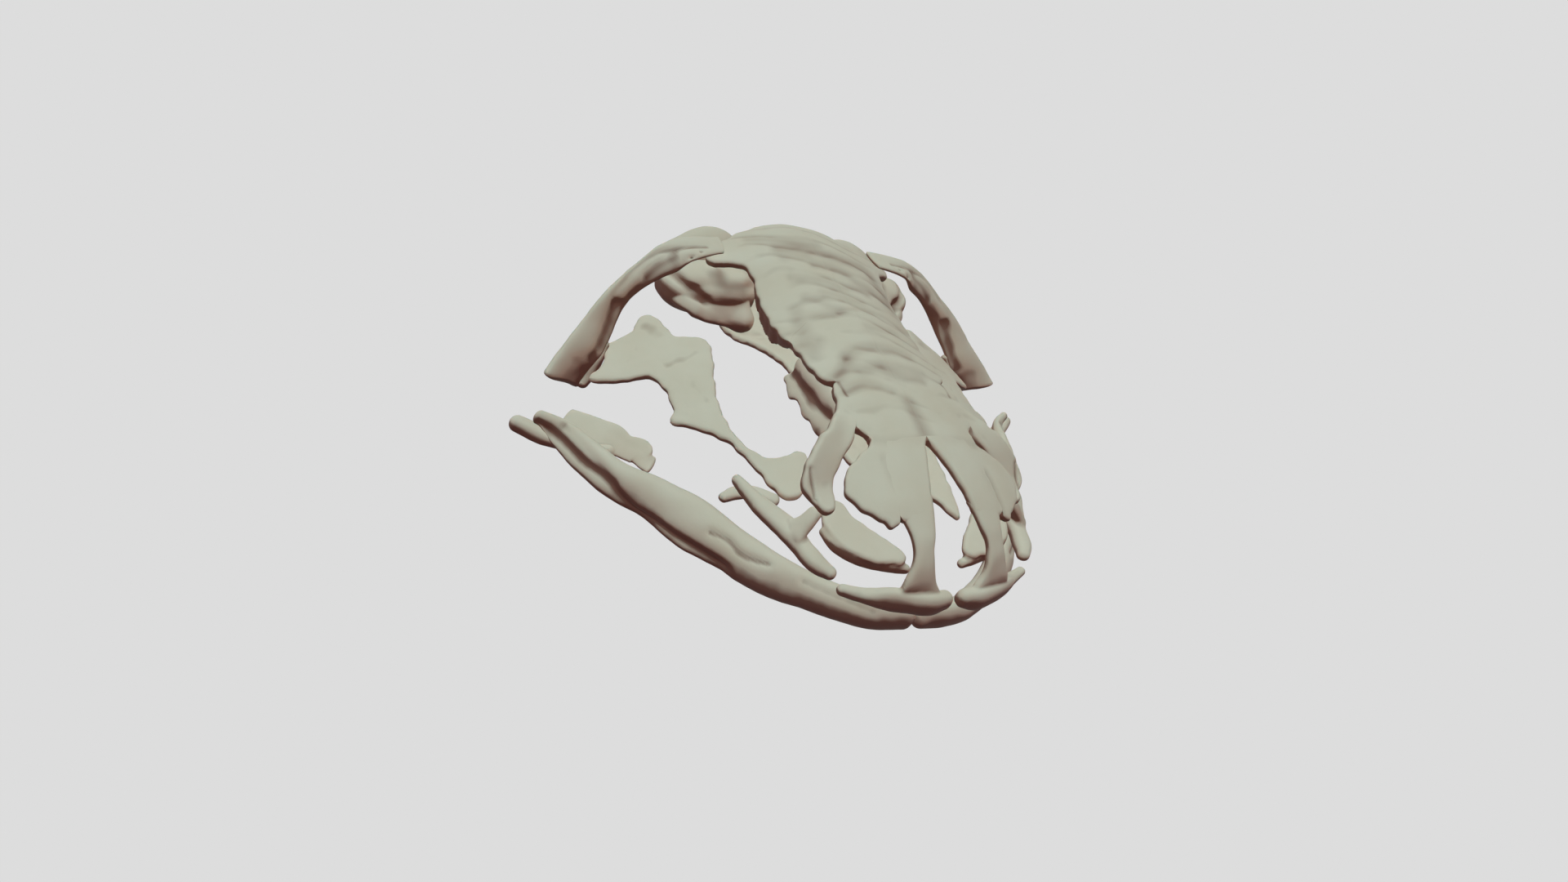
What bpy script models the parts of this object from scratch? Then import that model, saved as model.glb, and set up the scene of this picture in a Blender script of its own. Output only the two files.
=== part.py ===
"""Axolotl skull, life size: the ossified bones as a still display model.

Sizes are millimetres in skull coordinates until the last step: h is the distance from the
midline, y runs backwards from the chin and z up from the floor. The last step turns them into
metres with +X to the skull's left, the snout towards -Y and the floor at z = 0.
"""
import math

import bmesh
import bpy
import numpy as np
from mathutils import Vector
from mathutils.geometry import delaunay_2d_cdt

MM = 0.001
Y_CENTRE = 12.2          # y of the middle of the skull's length
SEAM = 0.3               # gap between neighbouring bones
HALF_SEAM = SEAM / 2
ROOF_THICK = 0.6         # plates of the skull roof
PALATE_THICK = 0.5       # plates of the palate
RIM = 0.25               # width of the bevel round a plate
RIM_THICK = 0.4          # thickness of the rim as a share of the plate's
STEP = 0.95              # length of a facet along outlines and bars
SIDES = 8                # facets round a bar
CHIN_SHIFT = 0.5         # the seam of the chin lies this far to the right of the midline
JAW_TURN = 0.35          # the jaw's left half lies this much forward, its right half back
FOLD = 1.35              # distance between the folds of the side wall of the braincase
BONE = (0.52, 0.51, 0.41, 1.0)

# Height of the roof's midline over the length, and how fast the roof falls to the sides.
CREST_Y = (-1.5, -0.6, -0.2, 0.4, 1.1, 1.8, 3.0, 4.2, 5.5, 7.6, 9.8, 13.0, 16.7, 19.4, 21.5, 22.5, 23.5)
CREST_Z = (3.4, 4.3, 5.3, 5.95, 6.5, 6.9, 7.35, 7.7, 8.0, 8.35, 8.6, 8.9, 9.15, 9.35, 9.3, 9.0, 8.4)
FALL_Y = (8.0, 10.0, 13.0, 16.5, 19.5, 21.5, 23.0)
FALL = (0.035, 0.045, 0.070, 0.067, 0.042, 0.058, 0.075)


def along(y, places, values):
    """Value at y of the smooth line through the given places."""
    y = np.asarray(y, float)
    p = np.asarray(places, float)
    v = np.asarray(values, float)
    slope = np.gradient(v, p)
    i = np.clip(np.searchsorted(p, y) - 1, 0, len(p) - 2)
    w = p[i + 1] - p[i]
    t = np.clip((y - p[i]) / w, 0, 1)
    a = (1 + 2 * t) * (1 - t) ** 2 * v[i] + t * (1 - t) ** 2 * w * slope[i]
    b = t * t * (3 - 2 * t) * v[i + 1] + t * t * (t - 1) * w * slope[i + 1]
    return a + b


def through(rows, step, closed):
    """Smooth line through the rows, cut at about every step; a row given twice is a corner."""
    p = np.array(rows, float)
    n = len(p)
    out = []
    for i in range(n if closed else n - 1):
        b = p[i]
        c = p[(i + 1) % n]
        a = p[i - 1] if closed or i > 0 else 2 * b - c
        d = p[(i + 2) % n] if closed or i < n - 2 else 2 * c - b
        length = float(np.linalg.norm((c - b)[:3]))
        if length < 1e-6:
            continue
        count = max(1, round(length / step))
        for k in range(count):
            t = k / count
            cubic = (2 * a - 5 * b + 4 * c - d) * t ** 2 + (3 * b - a - 3 * c + d) * t ** 3
            out.append(0.5 * (2 * b + (c - a) * t + cubic))
    if not closed:
        out.append(p[-1])
    return np.array(out)


def unit(v):
    return v / np.maximum(np.linalg.norm(v, axis=-1, keepdims=True), 1e-9)


def rim_distance(points, loop):
    """Distance of each point from a closed outline, and whether it lies inside."""
    a = loop
    b = np.roll(loop, -1, axis=0)
    ab = b - a
    ap = points[:, None] - a[None]
    t = np.clip((ap * ab).sum(2) / (ab * ab).sum(1), 0, 1)
    dist = np.linalg.norm(ap - t[..., None] * ab, axis=2).min(1)
    py = points[:, None, 1]
    crosses = (a[:, 1] > py) != (b[:, 1] > py)
    safe = np.where(np.abs(ab[:, 1]) < 1e-12, 1e-12, ab[:, 1])
    x = a[:, 0] + (py - a[:, 1]) * ab[:, 0] / safe
    inside = (crosses & (points[:, None, 0] < x)).sum(1) % 2 == 1
    return dist, inside


def plate(outline, surface, thick):
    """Closed plate with a bevelled rim: an outline in (u, v) laid on surface(u, v) -> xyz."""
    loop = through(outline, STEP, True)
    ab = np.roll(loop, -1, axis=0) - loop
    if (loop[:, 0] * ab[:, 1] - loop[:, 1] * ab[:, 0]).sum() < 0:
        loop = loop[::-1].copy()
    edge = unit(np.roll(loop, -1, axis=0) - np.roll(loop, 1, axis=0))
    inward = np.stack([-edge[:, 1], edge[:, 0]], 1)
    ring = loop + inward * RIM
    dist, inside = rim_distance(ring, loop)
    ring = ring[inside & (dist > 0.9 * RIM)]
    lo = loop.min(0)
    hi = loop.max(0)
    rows = []
    for j, v in enumerate(np.arange(lo[1], hi[1], STEP * 0.866)):
        for u in np.arange(lo[0] + (j % 2) * STEP / 2, hi[0], STEP):
            rows.append((u, v))
    grid = np.array(rows)
    dist, inside = rim_distance(grid, loop)
    grid = grid[inside & (dist > RIM + 0.45 * STEP)]
    points = np.concatenate([loop, ring, grid])
    border = list(range(len(loop)))
    spot, _, faces, _, _, _ = delaunay_2d_cdt([Vector(p) for p in points], [], [border], 1, 1e-6)
    uv = np.array([tuple(p) for p in spot])
    dist, _ = rim_distance(uv, loop)
    depth = np.clip(dist / RIM, 0, 1)
    half = 0.5 * thick * (RIM_THICK + (1 - RIM_THICK) * np.sqrt(1 - (1 - depth) ** 2))
    d = 0.05
    u = uv[:, 0]
    v = uv[:, 1]
    middle = surface(u, v)
    normal = unit(np.cross(surface(u + d, v) - surface(u - d, v), surface(u, v + d) - surface(u, v - d)))
    top = middle + normal * half[:, None]
    bottom = middle - normal * half[:, None]
    n = len(uv)
    tris = []
    used = {}
    for f in faces:
        a, b, c = (uv[i] for i in f)
        if (b[0] - a[0]) * (c[1] - a[1]) - (b[1] - a[1]) * (c[0] - a[0]) < 0:
            f = f[::-1]
        tris.append(tuple(f))
        tris.append(tuple(i + n for i in reversed(f)))
        for i in range(3):
            used[(f[i], f[(i + 1) % 3])] = True
    for a, b in used:
        if (b, a) not in used:
            tris.append((b, a, a + n))
            tris.append((b, a + n, b + n))
    return np.concatenate([top, bottom]), tris


def rod(centre, across, width, height, squareness):
    """Closed bar with rounded ends through centres; its width lies along across."""
    forward = unit(np.gradient(centre, axis=0))
    across = unit(across - (across * forward).sum(1)[:, None] * forward)
    up = np.cross(forward, across)
    angle = np.arange(SIDES) * 2 * math.pi / SIDES + math.pi / SIDES
    c = np.cos(angle)
    s = np.sin(angle)
    px = np.sign(c) * np.abs(c) ** (2 / squareness) / 2
    py = np.sign(s) * np.abs(s) ** (2 / squareness) / 2
    ends = ((0.45, 0.86),)
    rings = []
    place = [(0, -o, k) for o, k in reversed(ends)]
    place += [(i, 0.0, 1.0) for i in range(len(centre))]
    place += [(len(centre) - 1, o, k) for o, k in ends]
    for i, offset, scale in place:
        reach = 0.5 * min(width[i], height[i])
        mid = centre[i] + forward[i] * offset * reach
        x = across[i] * width[i] * scale
        y = up[i] * height[i] * scale
        rings.append(mid + px[:, None] * x + py[:, None] * y)
    verts = np.concatenate(rings)
    faces = []
    n = SIDES
    for r in range(len(rings) - 1):
        for k in range(n):
            a = r * n + k
            b = r * n + (k + 1) % n
            faces.append((a, b, b + n, a + n))
    first = centre[0] - forward[0] * 0.5 * min(width[0], height[0])
    last = centre[-1] + forward[-1] * 0.5 * min(width[-1], height[-1])
    verts = np.concatenate([verts, [first, last]])
    for k in range(n):
        faces.append((len(verts) - 2, (k + 1) % n, k))
        base = (len(rings) - 1) * n
        faces.append((len(verts) - 1, base + k, base + (k + 1) % n))
    return verts, faces


def bar(stations, lean=(0, 0, 1), squareness=2.4):
    """Bar through stations (h, y, z, width, height); the height leans towards the given way."""
    rows = through(stations, STEP, False)
    centre = rows[:, :3]
    forward = unit(np.gradient(centre, axis=0))
    across = np.cross(forward, np.array(lean, float))
    return rod(centre, across, rows[:, 3], rows[:, 4], squareness)


def blade(ribs, squareness=2.6):
    """Bar between two edges; a rib is (edge a, edge b, thickness)."""
    centres = [tuple((np.array(a) + np.array(b)) / 2) + tuple(a) + tuple(b) + (t,) for a, b, t in ribs]
    rows = through(centres, STEP, False)
    a = rows[:, 3:6]
    b = rows[:, 6:9]
    width = np.linalg.norm(b - a, axis=1)
    return rod(rows[:, :3], b - a, width, rows[:, 9], squareness)


def bulb(centre, plus, minus, bumps=(), squareness=2.5, level=3):
    """Closed rounded lump; plus and minus are its reaches each way, bumps are (way, size, spread)."""
    ball = bmesh.new()
    bmesh.ops.create_icosphere(ball, subdivisions=level, radius=1.0)
    way = np.array([tuple(v.co) for v in ball.verts])
    faces = [tuple(v.index for v in f.verts) for f in ball.faces]
    ball.free()
    reach = (np.abs(way) ** squareness).sum(1) ** (-1 / squareness)
    for direction, size, spread in bumps:
        d = unit(np.array(direction, float))
        reach = reach + size * np.exp(-((way - d) ** 2).sum(1) / spread ** 2)
    radii = np.where(way > 0, np.array(plus), np.array(minus))
    return np.array(centre) + way * reach[:, None] * radii, faces


def make_object(name, verts, faces):
    mesh = bpy.data.meshes.new(name)
    mesh.from_pydata([tuple(v) for v in verts], [], faces)
    obj = bpy.data.objects.new(name, mesh)
    bpy.context.scene.collection.objects.link(obj)
    return obj


def largest_shell(mesh):
    """Keep the largest closed surface of a mesh and its triangles."""
    bm = bmesh.new()
    bm.from_mesh(mesh)
    bm.verts.ensure_lookup_table()
    left = set(bm.verts)
    shells = []
    while left:
        stack = [left.pop()]
        shell = set(stack)
        while stack:
            for e in stack.pop().link_edges:
                for v in e.verts:
                    if v in left:
                        left.discard(v)
                        shell.add(v)
                        stack.append(v)
        shells.append(shell)
    shells.sort(key=len)
    for shell in shells[:-1]:
        bmesh.ops.delete(bm, geom=list(shell), context="VERTS")
    bmesh.ops.triangulate(bm, faces=bm.faces[:])
    bmesh.ops.recalc_face_normals(bm, faces=bm.faces[:])
    bm.to_mesh(mesh)
    bm.free()


def bone_material(name):
    mat = bpy.data.materials.new(name)
    mat.use_nodes = True
    shader = mat.node_tree.nodes["Principled BSDF"]
    shader.inputs["Base Color"].default_value = BONE
    shader.inputs["Roughness"].default_value = 0.75
    return mat


def bone(name, pieces, side):
    """One node from closed pieces in (h, y, z): joined, set on its side and turned to metres."""
    objects = [make_object(name, *p) for p in pieces]
    first = objects[0]
    if len(objects) > 1:
        group = bpy.data.collections.new(name + "_pieces")
        bpy.context.scene.collection.children.link(group)
        for obj in objects[1:]:
            bpy.context.scene.collection.objects.unlink(obj)
            group.objects.link(obj)
        union = first.modifiers.new("union", "BOOLEAN")
        union.operation = "UNION"
        union.operand_type = "COLLECTION"
        union.collection = group
        union.solver = "EXACT"
        depsgraph = bpy.context.evaluated_depsgraph_get()
        joined = bpy.data.meshes.new_from_object(first.evaluated_get(depsgraph))
        first.modifiers.clear()
        first.data = joined
        for obj in objects[1:]:
            bpy.data.objects.remove(obj, do_unlink=True)
        bpy.data.collections.remove(group)
    mesh = first.data
    for v in mesh.vertices:
        h, y, z = v.co
        v.co = (side * h * MM, (y - Y_CENTRE) * MM, max(z, 0.0) * MM)
    largest_shell(mesh)
    mesh.polygons.foreach_set("use_smooth", [True] * len(mesh.polygons))
    mesh.name = name
    mesh.materials.clear()
    mesh.materials.append(bone_material(name))
    first.name = name
    return first


def roof_z(h, y):
    """Height of the outside of the skull roof."""
    return along(y, CREST_Y, CREST_Z) - along(y, FALL_Y, FALL) * h * h


def on_roof(h, y):
    """Middle of a roof plate."""
    return np.stack([h, y, roof_z(h, y) - ROOF_THICK / 2], -1)


def premaxilla():
    tooth_bar = bar([(0.6, -1.05, 3.5, 0.8, 1.0), (1.4, -1.1, 3.45, 0.9, 1.3), (2.3, -0.9, 3.45, 0.9, 1.3),
                     (3.4, -0.55, 3.25, 0.8, 0.95), (4.5, 0.0, 3.15, 0.7, 0.65), (5.5, 0.4, 3.2, 0.5, 0.5)])
    edges = [(0.9, 3.5, -1.0, -0.6, 3.6), (1.0, 3.35, -0.95, -0.65, 4.0), (1.45, 3.05, -0.65, -0.6, 4.6),
             (1.66, 2.86, -0.22, -0.2, 5.25), (1.64, 2.8, 0.35, 0.35, 5.8), (1.38, 2.82, 1.05, 1.05, 6.25),
             (1.16, 2.85, 1.83, 1.83, 6.6), (0.9, 2.72, 3.0, 3.0, 7.08), (0.5, 2.5, 4.2, 4.2, 7.45),
             (0.25, 2.25, 5.0, 5.0, 7.62)]
    stem = blade([((a, ya, z), (b, yb, z - 0.035 * (b * b - a * a)), 0.6) for a, b, ya, yb, z in edges], 3.5)
    return [tooth_bar, stem]


def nasal():
    outline = [(3.2, 1.75), (3.3, 1.62), (3.65, 1.65), (3.95, 1.85), (4.3, 2.15), (4.7, 2.45), (5.0, 2.9),
               (5.15, 3.5), (4.95, 4.1), (4.65, 4.5), (4.0, 4.9), (3.25, 5.25), (2.6, 5.15), (2.85, 4.65),
               (3.05, 3.6), (3.13, 2.6)]
    return [plate(outline, on_roof, ROOF_THICK)]


PREFRONTAL_Y = (2.8, 3.5, 4.0, 4.5, 5.0, 5.5, 6.0, 6.5, 7.0, 8.0, 9.2)
PREFRONTAL_Z = (5.6, 5.7, 5.85, 6.1, 6.55, 7.0, 7.35, 7.65, 7.85, 8.0, 8.1)


def prefrontal():
    outline = [(3.55, 9.1), (3.85, 8.1), (4.6, 7.0), (5.75, 6.05), (6.5, 5.1), (6.8, 4.4), (6.35, 3.65),
               (6.25, 3.0), (5.85, 2.85), (5.4, 3.2), (5.25, 3.8), (5.12, 4.4), (4.7, 5.15), (3.95, 5.75),
               (3.65, 6.5), (3.48, 7.4), (3.4, 8.4)]

    def surface(h, y):
        return np.stack([h, y, along(y, PREFRONTAL_Y, PREFRONTAL_Z) - ROOF_THICK / 2], -1)
    return [plate(outline, surface, ROOF_THICK)]


def frontal():
    front = (HALF_SEAM, 5.75)
    rear = (HALF_SEAM, 14.3)
    outline = [front, front, (1.5, 5.65), (2.3, 5.65), (2.9, 5.75), (3.25, 6.2), (3.1, 7.3), (3.05, 8.4),
               (3.15, 9.3), (3.4, 9.55), (3.77, 9.75), (3.95, 10.4), (4.0, 11.2), (4.0, 12.3), (3.6, 13.15),
               (2.6, 13.8), (1.5, 14.2), rear, rear]
    return [plate(outline, on_roof, ROOF_THICK)]


def parietal():
    front = (HALF_SEAM, 14.6)
    rear = (HALF_SEAM, 23.0)
    outline = [front, front, (1.6, 14.5), (2.8, 14.1), (3.8, 13.5), (4.3, 14.0), (4.4, 15.4), (4.4, 16.6),
               (4.3, 17.8), (4.5, 18.8), (5.2, 19.3), (5.8, 19.8), (5.6, 20.7), (5.0, 21.4), (4.1, 21.9),
               (3.0, 22.4), (1.5, 22.8), rear, rear]
    flange = blade([((4.0, 13.4, 7.5), (3.9, 13.4, 7.2), 0.5), ((4.2, 14.6, 7.6), (4.1, 14.5, 6.9), 0.5),
                    ((4.3, 16.0, 7.6), (4.2, 16.0, 6.9), 0.5), ((4.2, 17.6, 7.9), (4.15, 17.6, 7.4), 0.5)])
    return [plate(outline, on_roof, ROOF_THICK), flange]


def squamosal():
    ribs = [((5.6, 21.5, 8.75), (5.5, 20.1, 8.75), 0.4), ((6.6, 21.45, 8.4), (6.3, 19.6, 8.45), 0.45),
            ((7.7, 21.2, 8.2), (7.15, 19.4, 7.85), 0.5), ((8.8, 20.8, 7.75), (8.05, 19.4, 7.1), 0.55),
            ((9.7, 20.45, 7.2), (9.1, 19.35, 6.2), 0.6), ((10.6, 20.05, 6.55), (10.1, 19.0, 5.3), 0.6),
            ((11.6, 19.25, 5.8), (10.85, 18.6, 4.55), 0.6), ((12.5, 18.65, 4.95), (11.4, 18.15, 4.1), 0.6),
            ((13.4, 17.9, 4.1), (11.85, 17.75, 3.4), 0.6), ((14.3, 17.0, 3.35), (12.5, 17.2, 2.75), 0.65),
            ((14.95, 16.3, 2.85), (13.1, 16.9, 2.1), 0.7)]
    return [blade(ribs)]


def quadrate():
    return [bar([(11.25, 17.75, 3.0, 0.6, 0.6), (11.5, 17.4, 2.6, 0.75, 0.6), (11.9, 17.1, 2.0, 0.8, 0.65),
                 (12.3, 16.8, 1.5, 0.75, 0.65)])]


def prootic():
    hollow = ((0.25, -1, 0.15), -0.2, 0.4)
    brow = ((-0.8, -1, -0.5), 0.22, 0.5)
    lobe = ((-0.6, -0.5, -0.8), 0.15, 0.4)
    cheek = ((0.62, -0.72, -0.3), -0.2, 0.45)
    crown = ((0.61, 0.19, 0.77), 0.12, 0.35)
    return [bulb((5.0, 20.6, 5.8), (3.3, 0.6, 1.4), (2.6, 2.3, 1.65), [hollow, brow, lobe, cheek, crown])]


def exoccipital():
    capsule = bulb((5.0, 22.1, 5.9), (3.0, 1.6, 1.4), (3.0, 0.6, 1.5), [((-0.15, 0.6, 1), 0.62, 0.45)])
    condyle = bar([(3.4, 23.0, 5.2, 1.4, 1.4), (2.4, 24.4, 5.1, 1.3, 1.2), (2.0, 25.3, 5.1, 1.4, 1.3)])
    arch = bar([(4.0, 22.8, 6.4, 1.2, 1.0), (2.4, 23.4, 7.0, 1.2, 0.8), (0.6, 23.7, 7.2, 1.0, 0.7)])
    pillar = bar([(2.0, 23.7, 7.0, 0.9, 0.8), (2.3, 24.1, 6.1, 0.8, 0.8), (2.3, 24.3, 5.2, 0.9, 0.9)],
                 lean=(0, 1, 0))
    return [capsule, condyle, arch, pillar]


def orbitosphenoid():
    outline = [(12.9, 5.5), (12.7, 6.3), (12.55, 6.85), (11.0, 7.1), (9.6, 7.15), (8.6, 7.1), (8.2, 6.7), (8.25, 6.3),
               (8.0, 5.9), (8.4, 5.4), (9.2, 5.5), (9.8, 5.35), (10.9, 5.45), (11.6, 5.25), (12.2, 5.3)]

    def surface(y, z):
        fold = 0.17 * np.cos(2 * math.pi * (z - 5.55 + 0.12 * (y - 10)) / FOLD)
        return np.stack([3.35 + 0.22 * (6.6 - z) - 0.012 * (y - 10) ** 2 + fold, y, z], -1)
    return [plate(outline, surface, 0.5)]


PALATE_Y = (2.0, 10.0, 14.0, 17.0, 19.0, 21.0, 24.0)
PALATE_Z = (5.2, 5.2, 5.0, 4.35, 3.65, 3.5, 3.6)


def parasphenoid():
    half = [(0.9, 3.7), (1.6, 2.4), (2.0, 3.3), (2.4, 4.8), (2.75, 6.4), (2.9, 8.2), (2.8, 10.5),
            (2.6, 13.0), (2.6, 15.0), (2.9, 16.4), (3.4, 17.9), (3.7, 19.0), (3.8, 20.6), (3.4, 22.2),
            (2.0, 23.3)]
    outline = [(0.0, 4.4)] + half + [(0.0, 23.8)] + [(-h, y) for h, y in reversed(half)]

    def surface(h, y):
        return np.stack([h, y, along(y, PALATE_Y, PALATE_Z)], -1)
    return [plate(outline, surface, PALATE_THICK)]


def vomer():
    outline = [(5.0, 4.5), (5.5, 3.7), (5.4, 2.6), (4.8, 1.7), (3.9, 1.1), (2.8, 0.9), (2.0, 0.95),
               (1.85, 1.4), (2.4, 2.25), (3.2, 3.0), (3.7, 3.6), (3.95, 4.4), (4.4, 4.7)]

    def surface(h, y):
        return np.stack([h, y, 3.85 + 0.13 * y + 0.02 * h], -1)
    ridge = bar([(5.45, 3.2, 4.1, 0.4, 0.5), (5.2, 2.4, 4.0, 0.5, 0.65), (4.55, 1.75, 3.9, 0.5, 0.65),
                 (3.6, 1.3, 3.8, 0.5, 0.65), (2.4, 1.05, 3.7, 0.5, 0.6), (1.75, 0.95, 3.6, 0.45, 0.5)])
    return [plate(outline, surface, PALATE_THICK), ridge]


def palatopterygoid():
    outline = [(12.6, 15.9), (11.8, 15.3), (10.9, 14.9), (10.2, 14.7), (9.8, 13.6), (9.8, 12.2), (10.1, 11.3),
               (9.2, 10.5), (8.2, 9.4), (7.7, 8.2), (7.3, 6.7), (6.9, 5.4), (6.4, 5.0), (5.5, 5.5),
               (4.8, 6.3), (4.5, 7.5), (5.0, 7.9), (6.1, 7.6), (7.0, 8.0), (7.6, 9.4), (7.7, 11.4),
               (7.3, 13.4), (6.7, 15.2), (6.6, 16.4), (7.4, 16.9), (8.1, 17.3), (8.3, 18.3), (8.7, 19.3),
               (9.4, 19.1), (10.0, 18.3), (10.6, 18.1), (10.8, 17.7), (11.05, 17.0), (11.8, 16.4), (12.5, 16.3)]

    def surface(h, y):
        z = 4.6 + 0.5 * np.clip((y - 6) / 8, 0, 1) - 0.04 * (h - 4.5) ** 2
        return np.stack([h, y, z], -1)
    return [plate(outline, surface, PALATE_THICK)]


def maxilla():
    tooth_bar = bar([(8.45, 6.9, 4.0, 0.45, 0.5), (8.15, 5.9, 3.95, 0.7, 0.7), (7.65, 4.8, 3.9, 1.1, 0.8),
                     (7.0, 3.7, 3.8, 1.3, 0.8), (6.7, 2.75, 3.65, 1.0, 0.8), (6.4, 1.8, 3.6, 1.0, 0.8),
                     (5.95, 1.1, 3.6, 0.7, 0.6)])
    riser = bar([(6.95, 3.45, 3.9, 1.4, 0.6), (6.65, 3.45, 4.2, 1.05, 0.6), (6.35, 3.5, 4.45, 0.85, 0.55)],
                lean=(1, 0, 1))
    return [tooth_bar, riser]


def dentary(side):
    ribs = [((15.4, 14.1, 1.25), (15.2, 14.35, 1.75), 0.5), ((14.85, 13.1, 0.75), (14.4, 13.65, 1.75), 0.65),
            ((14.05, 11.75, 0.15), (13.5, 12.2, 1.9), 0.95), ((13.05, 10.05, 0.05), (12.45, 10.35, 2.0), 1.15),
            ((11.6, 8.3, 0.0), (10.9, 8.85, 2.08), 1.25), ((10.3, 6.2, 0.0), (9.45, 7.2, 2.1), 1.3),
            ((9.2, 5.0, 0.0), (8.4, 5.55, 2.05), 1.3), ((7.35, 2.95, 0.0), (7.0, 3.6, 2.0), 1.3),
            ((5.35, 1.65, 0.0), (5.2, 1.9, 1.95), 1.25), ((3.25, 0.5, 0.1), (3.1, 0.55, 1.95), 1.2),
            ((1.9, 0.15, 0.2), (1.95, 0.1, 1.9), 1.1), ((0.75, 0.1, 0.3), (0.75, -0.05, 1.9), 1.05)]

    def skew(point):
        h, y, z = point
        shift = CHIN_SHIFT * math.exp(-(h / 4) ** 2)
        turn = JAW_TURN * math.sin(math.pi * min(h / 12, 1))
        return h - side * shift, y - side * turn, z
    return [blade([(skew(a), skew(b), t) for a, b, t in ribs], 2.4)]


def prearticular():
    lower = bar([(16.25, 14.95, 0.5, 0.8, 0.85), (15.4, 14.6, 0.43, 0.75, 0.75), (14.5, 14.15, 0.42, 0.75, 0.7),
                 (13.2, 13.1, 0.6, 0.6, 0.7), (12.3, 12.5, 0.9, 0.6, 0.8)])
    inner = blade([((14.2, 14.4, 0.8), (13.5, 15.1, 1.3), 0.5), ((13.0, 13.1, 0.9), (12.3, 14.0, 1.6), 0.5),
                   ((12.3, 12.4, 0.95), (11.7, 13.25, 1.85), 0.5), ((11.7, 11.8, 1.0), (11.2, 12.5, 1.8), 0.5),
                   ((11.2, 11.3, 1.1), (10.7, 12.05, 1.95), 0.5), ((10.7, 10.7, 1.2), (10.3, 11.2, 1.75), 0.5),
                   ((10.4, 10.4, 1.25), (10.0, 10.9, 1.7), 0.5)], 3.0)
    return [lower, inner]


def coronoid():
    return [bar([(9.0, 6.6, 3.15, 0.5, 0.45), (8.2, 6.9, 3.1, 0.7, 0.5), (7.2, 6.9, 3.1, 0.7, 0.5),
                 (6.3, 6.3, 3.1, 0.7, 0.5)])]


PAIRED = {
    "premaxilla": premaxilla, "nasal": nasal, "prefrontal": prefrontal, "frontal": frontal,
    "parietal": parietal, "squamosal": squamosal, "quadrate": quadrate, "prootic": prootic,
    "exoccipital": exoccipital, "orbitosphenoid": orbitosphenoid, "vomer": vomer,
    "palatopterygoid": palatopterygoid, "maxilla": maxilla, "dentary": dentary,
    "prearticular": prearticular, "coronoid": coronoid,
}

for old in list(bpy.data.objects):
    bpy.data.objects.remove(old, do_unlink=True)
for label, shape in PAIRED.items():
    for side, suffix in ((1, "left"), (-1, "right")):
        pieces = dentary(side) if shape is dentary else shape()
        bone(label + "_" + suffix, pieces, side)
bone("parasphenoid", parasphenoid(), 1)
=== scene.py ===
"""Looks of the axolotl skull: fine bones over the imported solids, dry bone, floor, light and camera.

Bones are modelled in millimetres in skull coordinates: h is the distance from the midline,
y runs backwards from the chin and z up from the floor. finish_bone turns them into metres with
+X to the skull's left, the snout towards -Y and the floor at z = 0.
"""
import math

import bmesh
import bpy
import numpy as np
from mathutils import Matrix, Vector
from mathutils.geometry import delaunay_2d_cdt


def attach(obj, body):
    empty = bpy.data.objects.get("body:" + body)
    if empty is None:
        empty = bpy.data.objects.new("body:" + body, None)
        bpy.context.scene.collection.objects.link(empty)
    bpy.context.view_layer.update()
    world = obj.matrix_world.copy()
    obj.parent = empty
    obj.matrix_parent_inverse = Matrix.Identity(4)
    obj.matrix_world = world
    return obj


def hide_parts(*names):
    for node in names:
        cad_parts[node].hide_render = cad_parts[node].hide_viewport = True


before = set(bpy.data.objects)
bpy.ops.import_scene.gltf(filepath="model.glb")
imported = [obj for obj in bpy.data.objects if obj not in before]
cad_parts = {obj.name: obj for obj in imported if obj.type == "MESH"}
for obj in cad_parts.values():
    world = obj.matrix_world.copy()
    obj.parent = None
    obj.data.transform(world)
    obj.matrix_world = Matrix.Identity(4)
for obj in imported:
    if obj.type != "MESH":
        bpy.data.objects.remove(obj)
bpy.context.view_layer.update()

MM = 0.001
GOLDEN_ANGLE = 2.39996   # radians; directions turned by it never line up
Y_CENTRE = 12.2          # y of the middle of the skull's length
ROOF_THICK = 0.5         # plates of the skull roof
PALATE_THICK = 0.42      # plates of the palate and the walls beside the brain
RIM = 0.19               # width of the rounding at a plate's free rim
RIM_THICK = 0.15         # thickness of the very edge as a share of the plate's
RIM_RINGS = (0.06, 0.2, 0.45, 0.8)   # places of the rounding's rings of points, as shares of its width
SEAM_SQUARE = 0.1        # a plate's edge stays square this near to a seam
SEAM_FADE = 0.4          # and turns into the rounded rim over this length
STEP = 0.16              # length of a facet along bars and on the palate
ROOF_STEP = 0.085        # length of a facet on the wrinkled plates of the roof
ROW_GAP = 0.866          # distance between rows of a plate's points, in facets
PROBE = 0.05             # reach over which a plate's slope is taken
WAVER = 0.05             # how much the plates' outlines waver
CALM = 0.3               # strip beside the midline where they don't
SIDES = 48               # facets round a bar
END_TURNS = (80, 66, 52, 38, 25, 12)   # degrees at which a bar's rounded end has rings
BALL_LEVEL = 5           # subdivisions of a lump
VOXEL = 0.085            # grid on which the pieces of one bone are fused
FINE_VOXEL = 0.055       # the same for small bones
EASE_IN = 0.5            # share of the way to its neighbours' middle that a point goes in easing
EASE_OUT = 0.52          # and the share that it then goes back
BAR_SQUARENESS = 2.4     # cross-section of a bar: 2 is round, more is squarer
CHIN_SHIFT = 0.5         # the seam of the chin lies this far to the right of the midline
CHIN_REACH = 4           # distance over which that shift fades
JAW_TURN = 0.35          # the jaw's left half lies this much forward, its right half back
JAW_WIDTH = 12           # width of half the jaw over which that turn rises and falls
MIDLINE = 0.003          # half of the hairline between left and right bones
SEAM_ANGLE = 65          # degrees between faces from which an edge stays sharp, as at the seams

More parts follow.
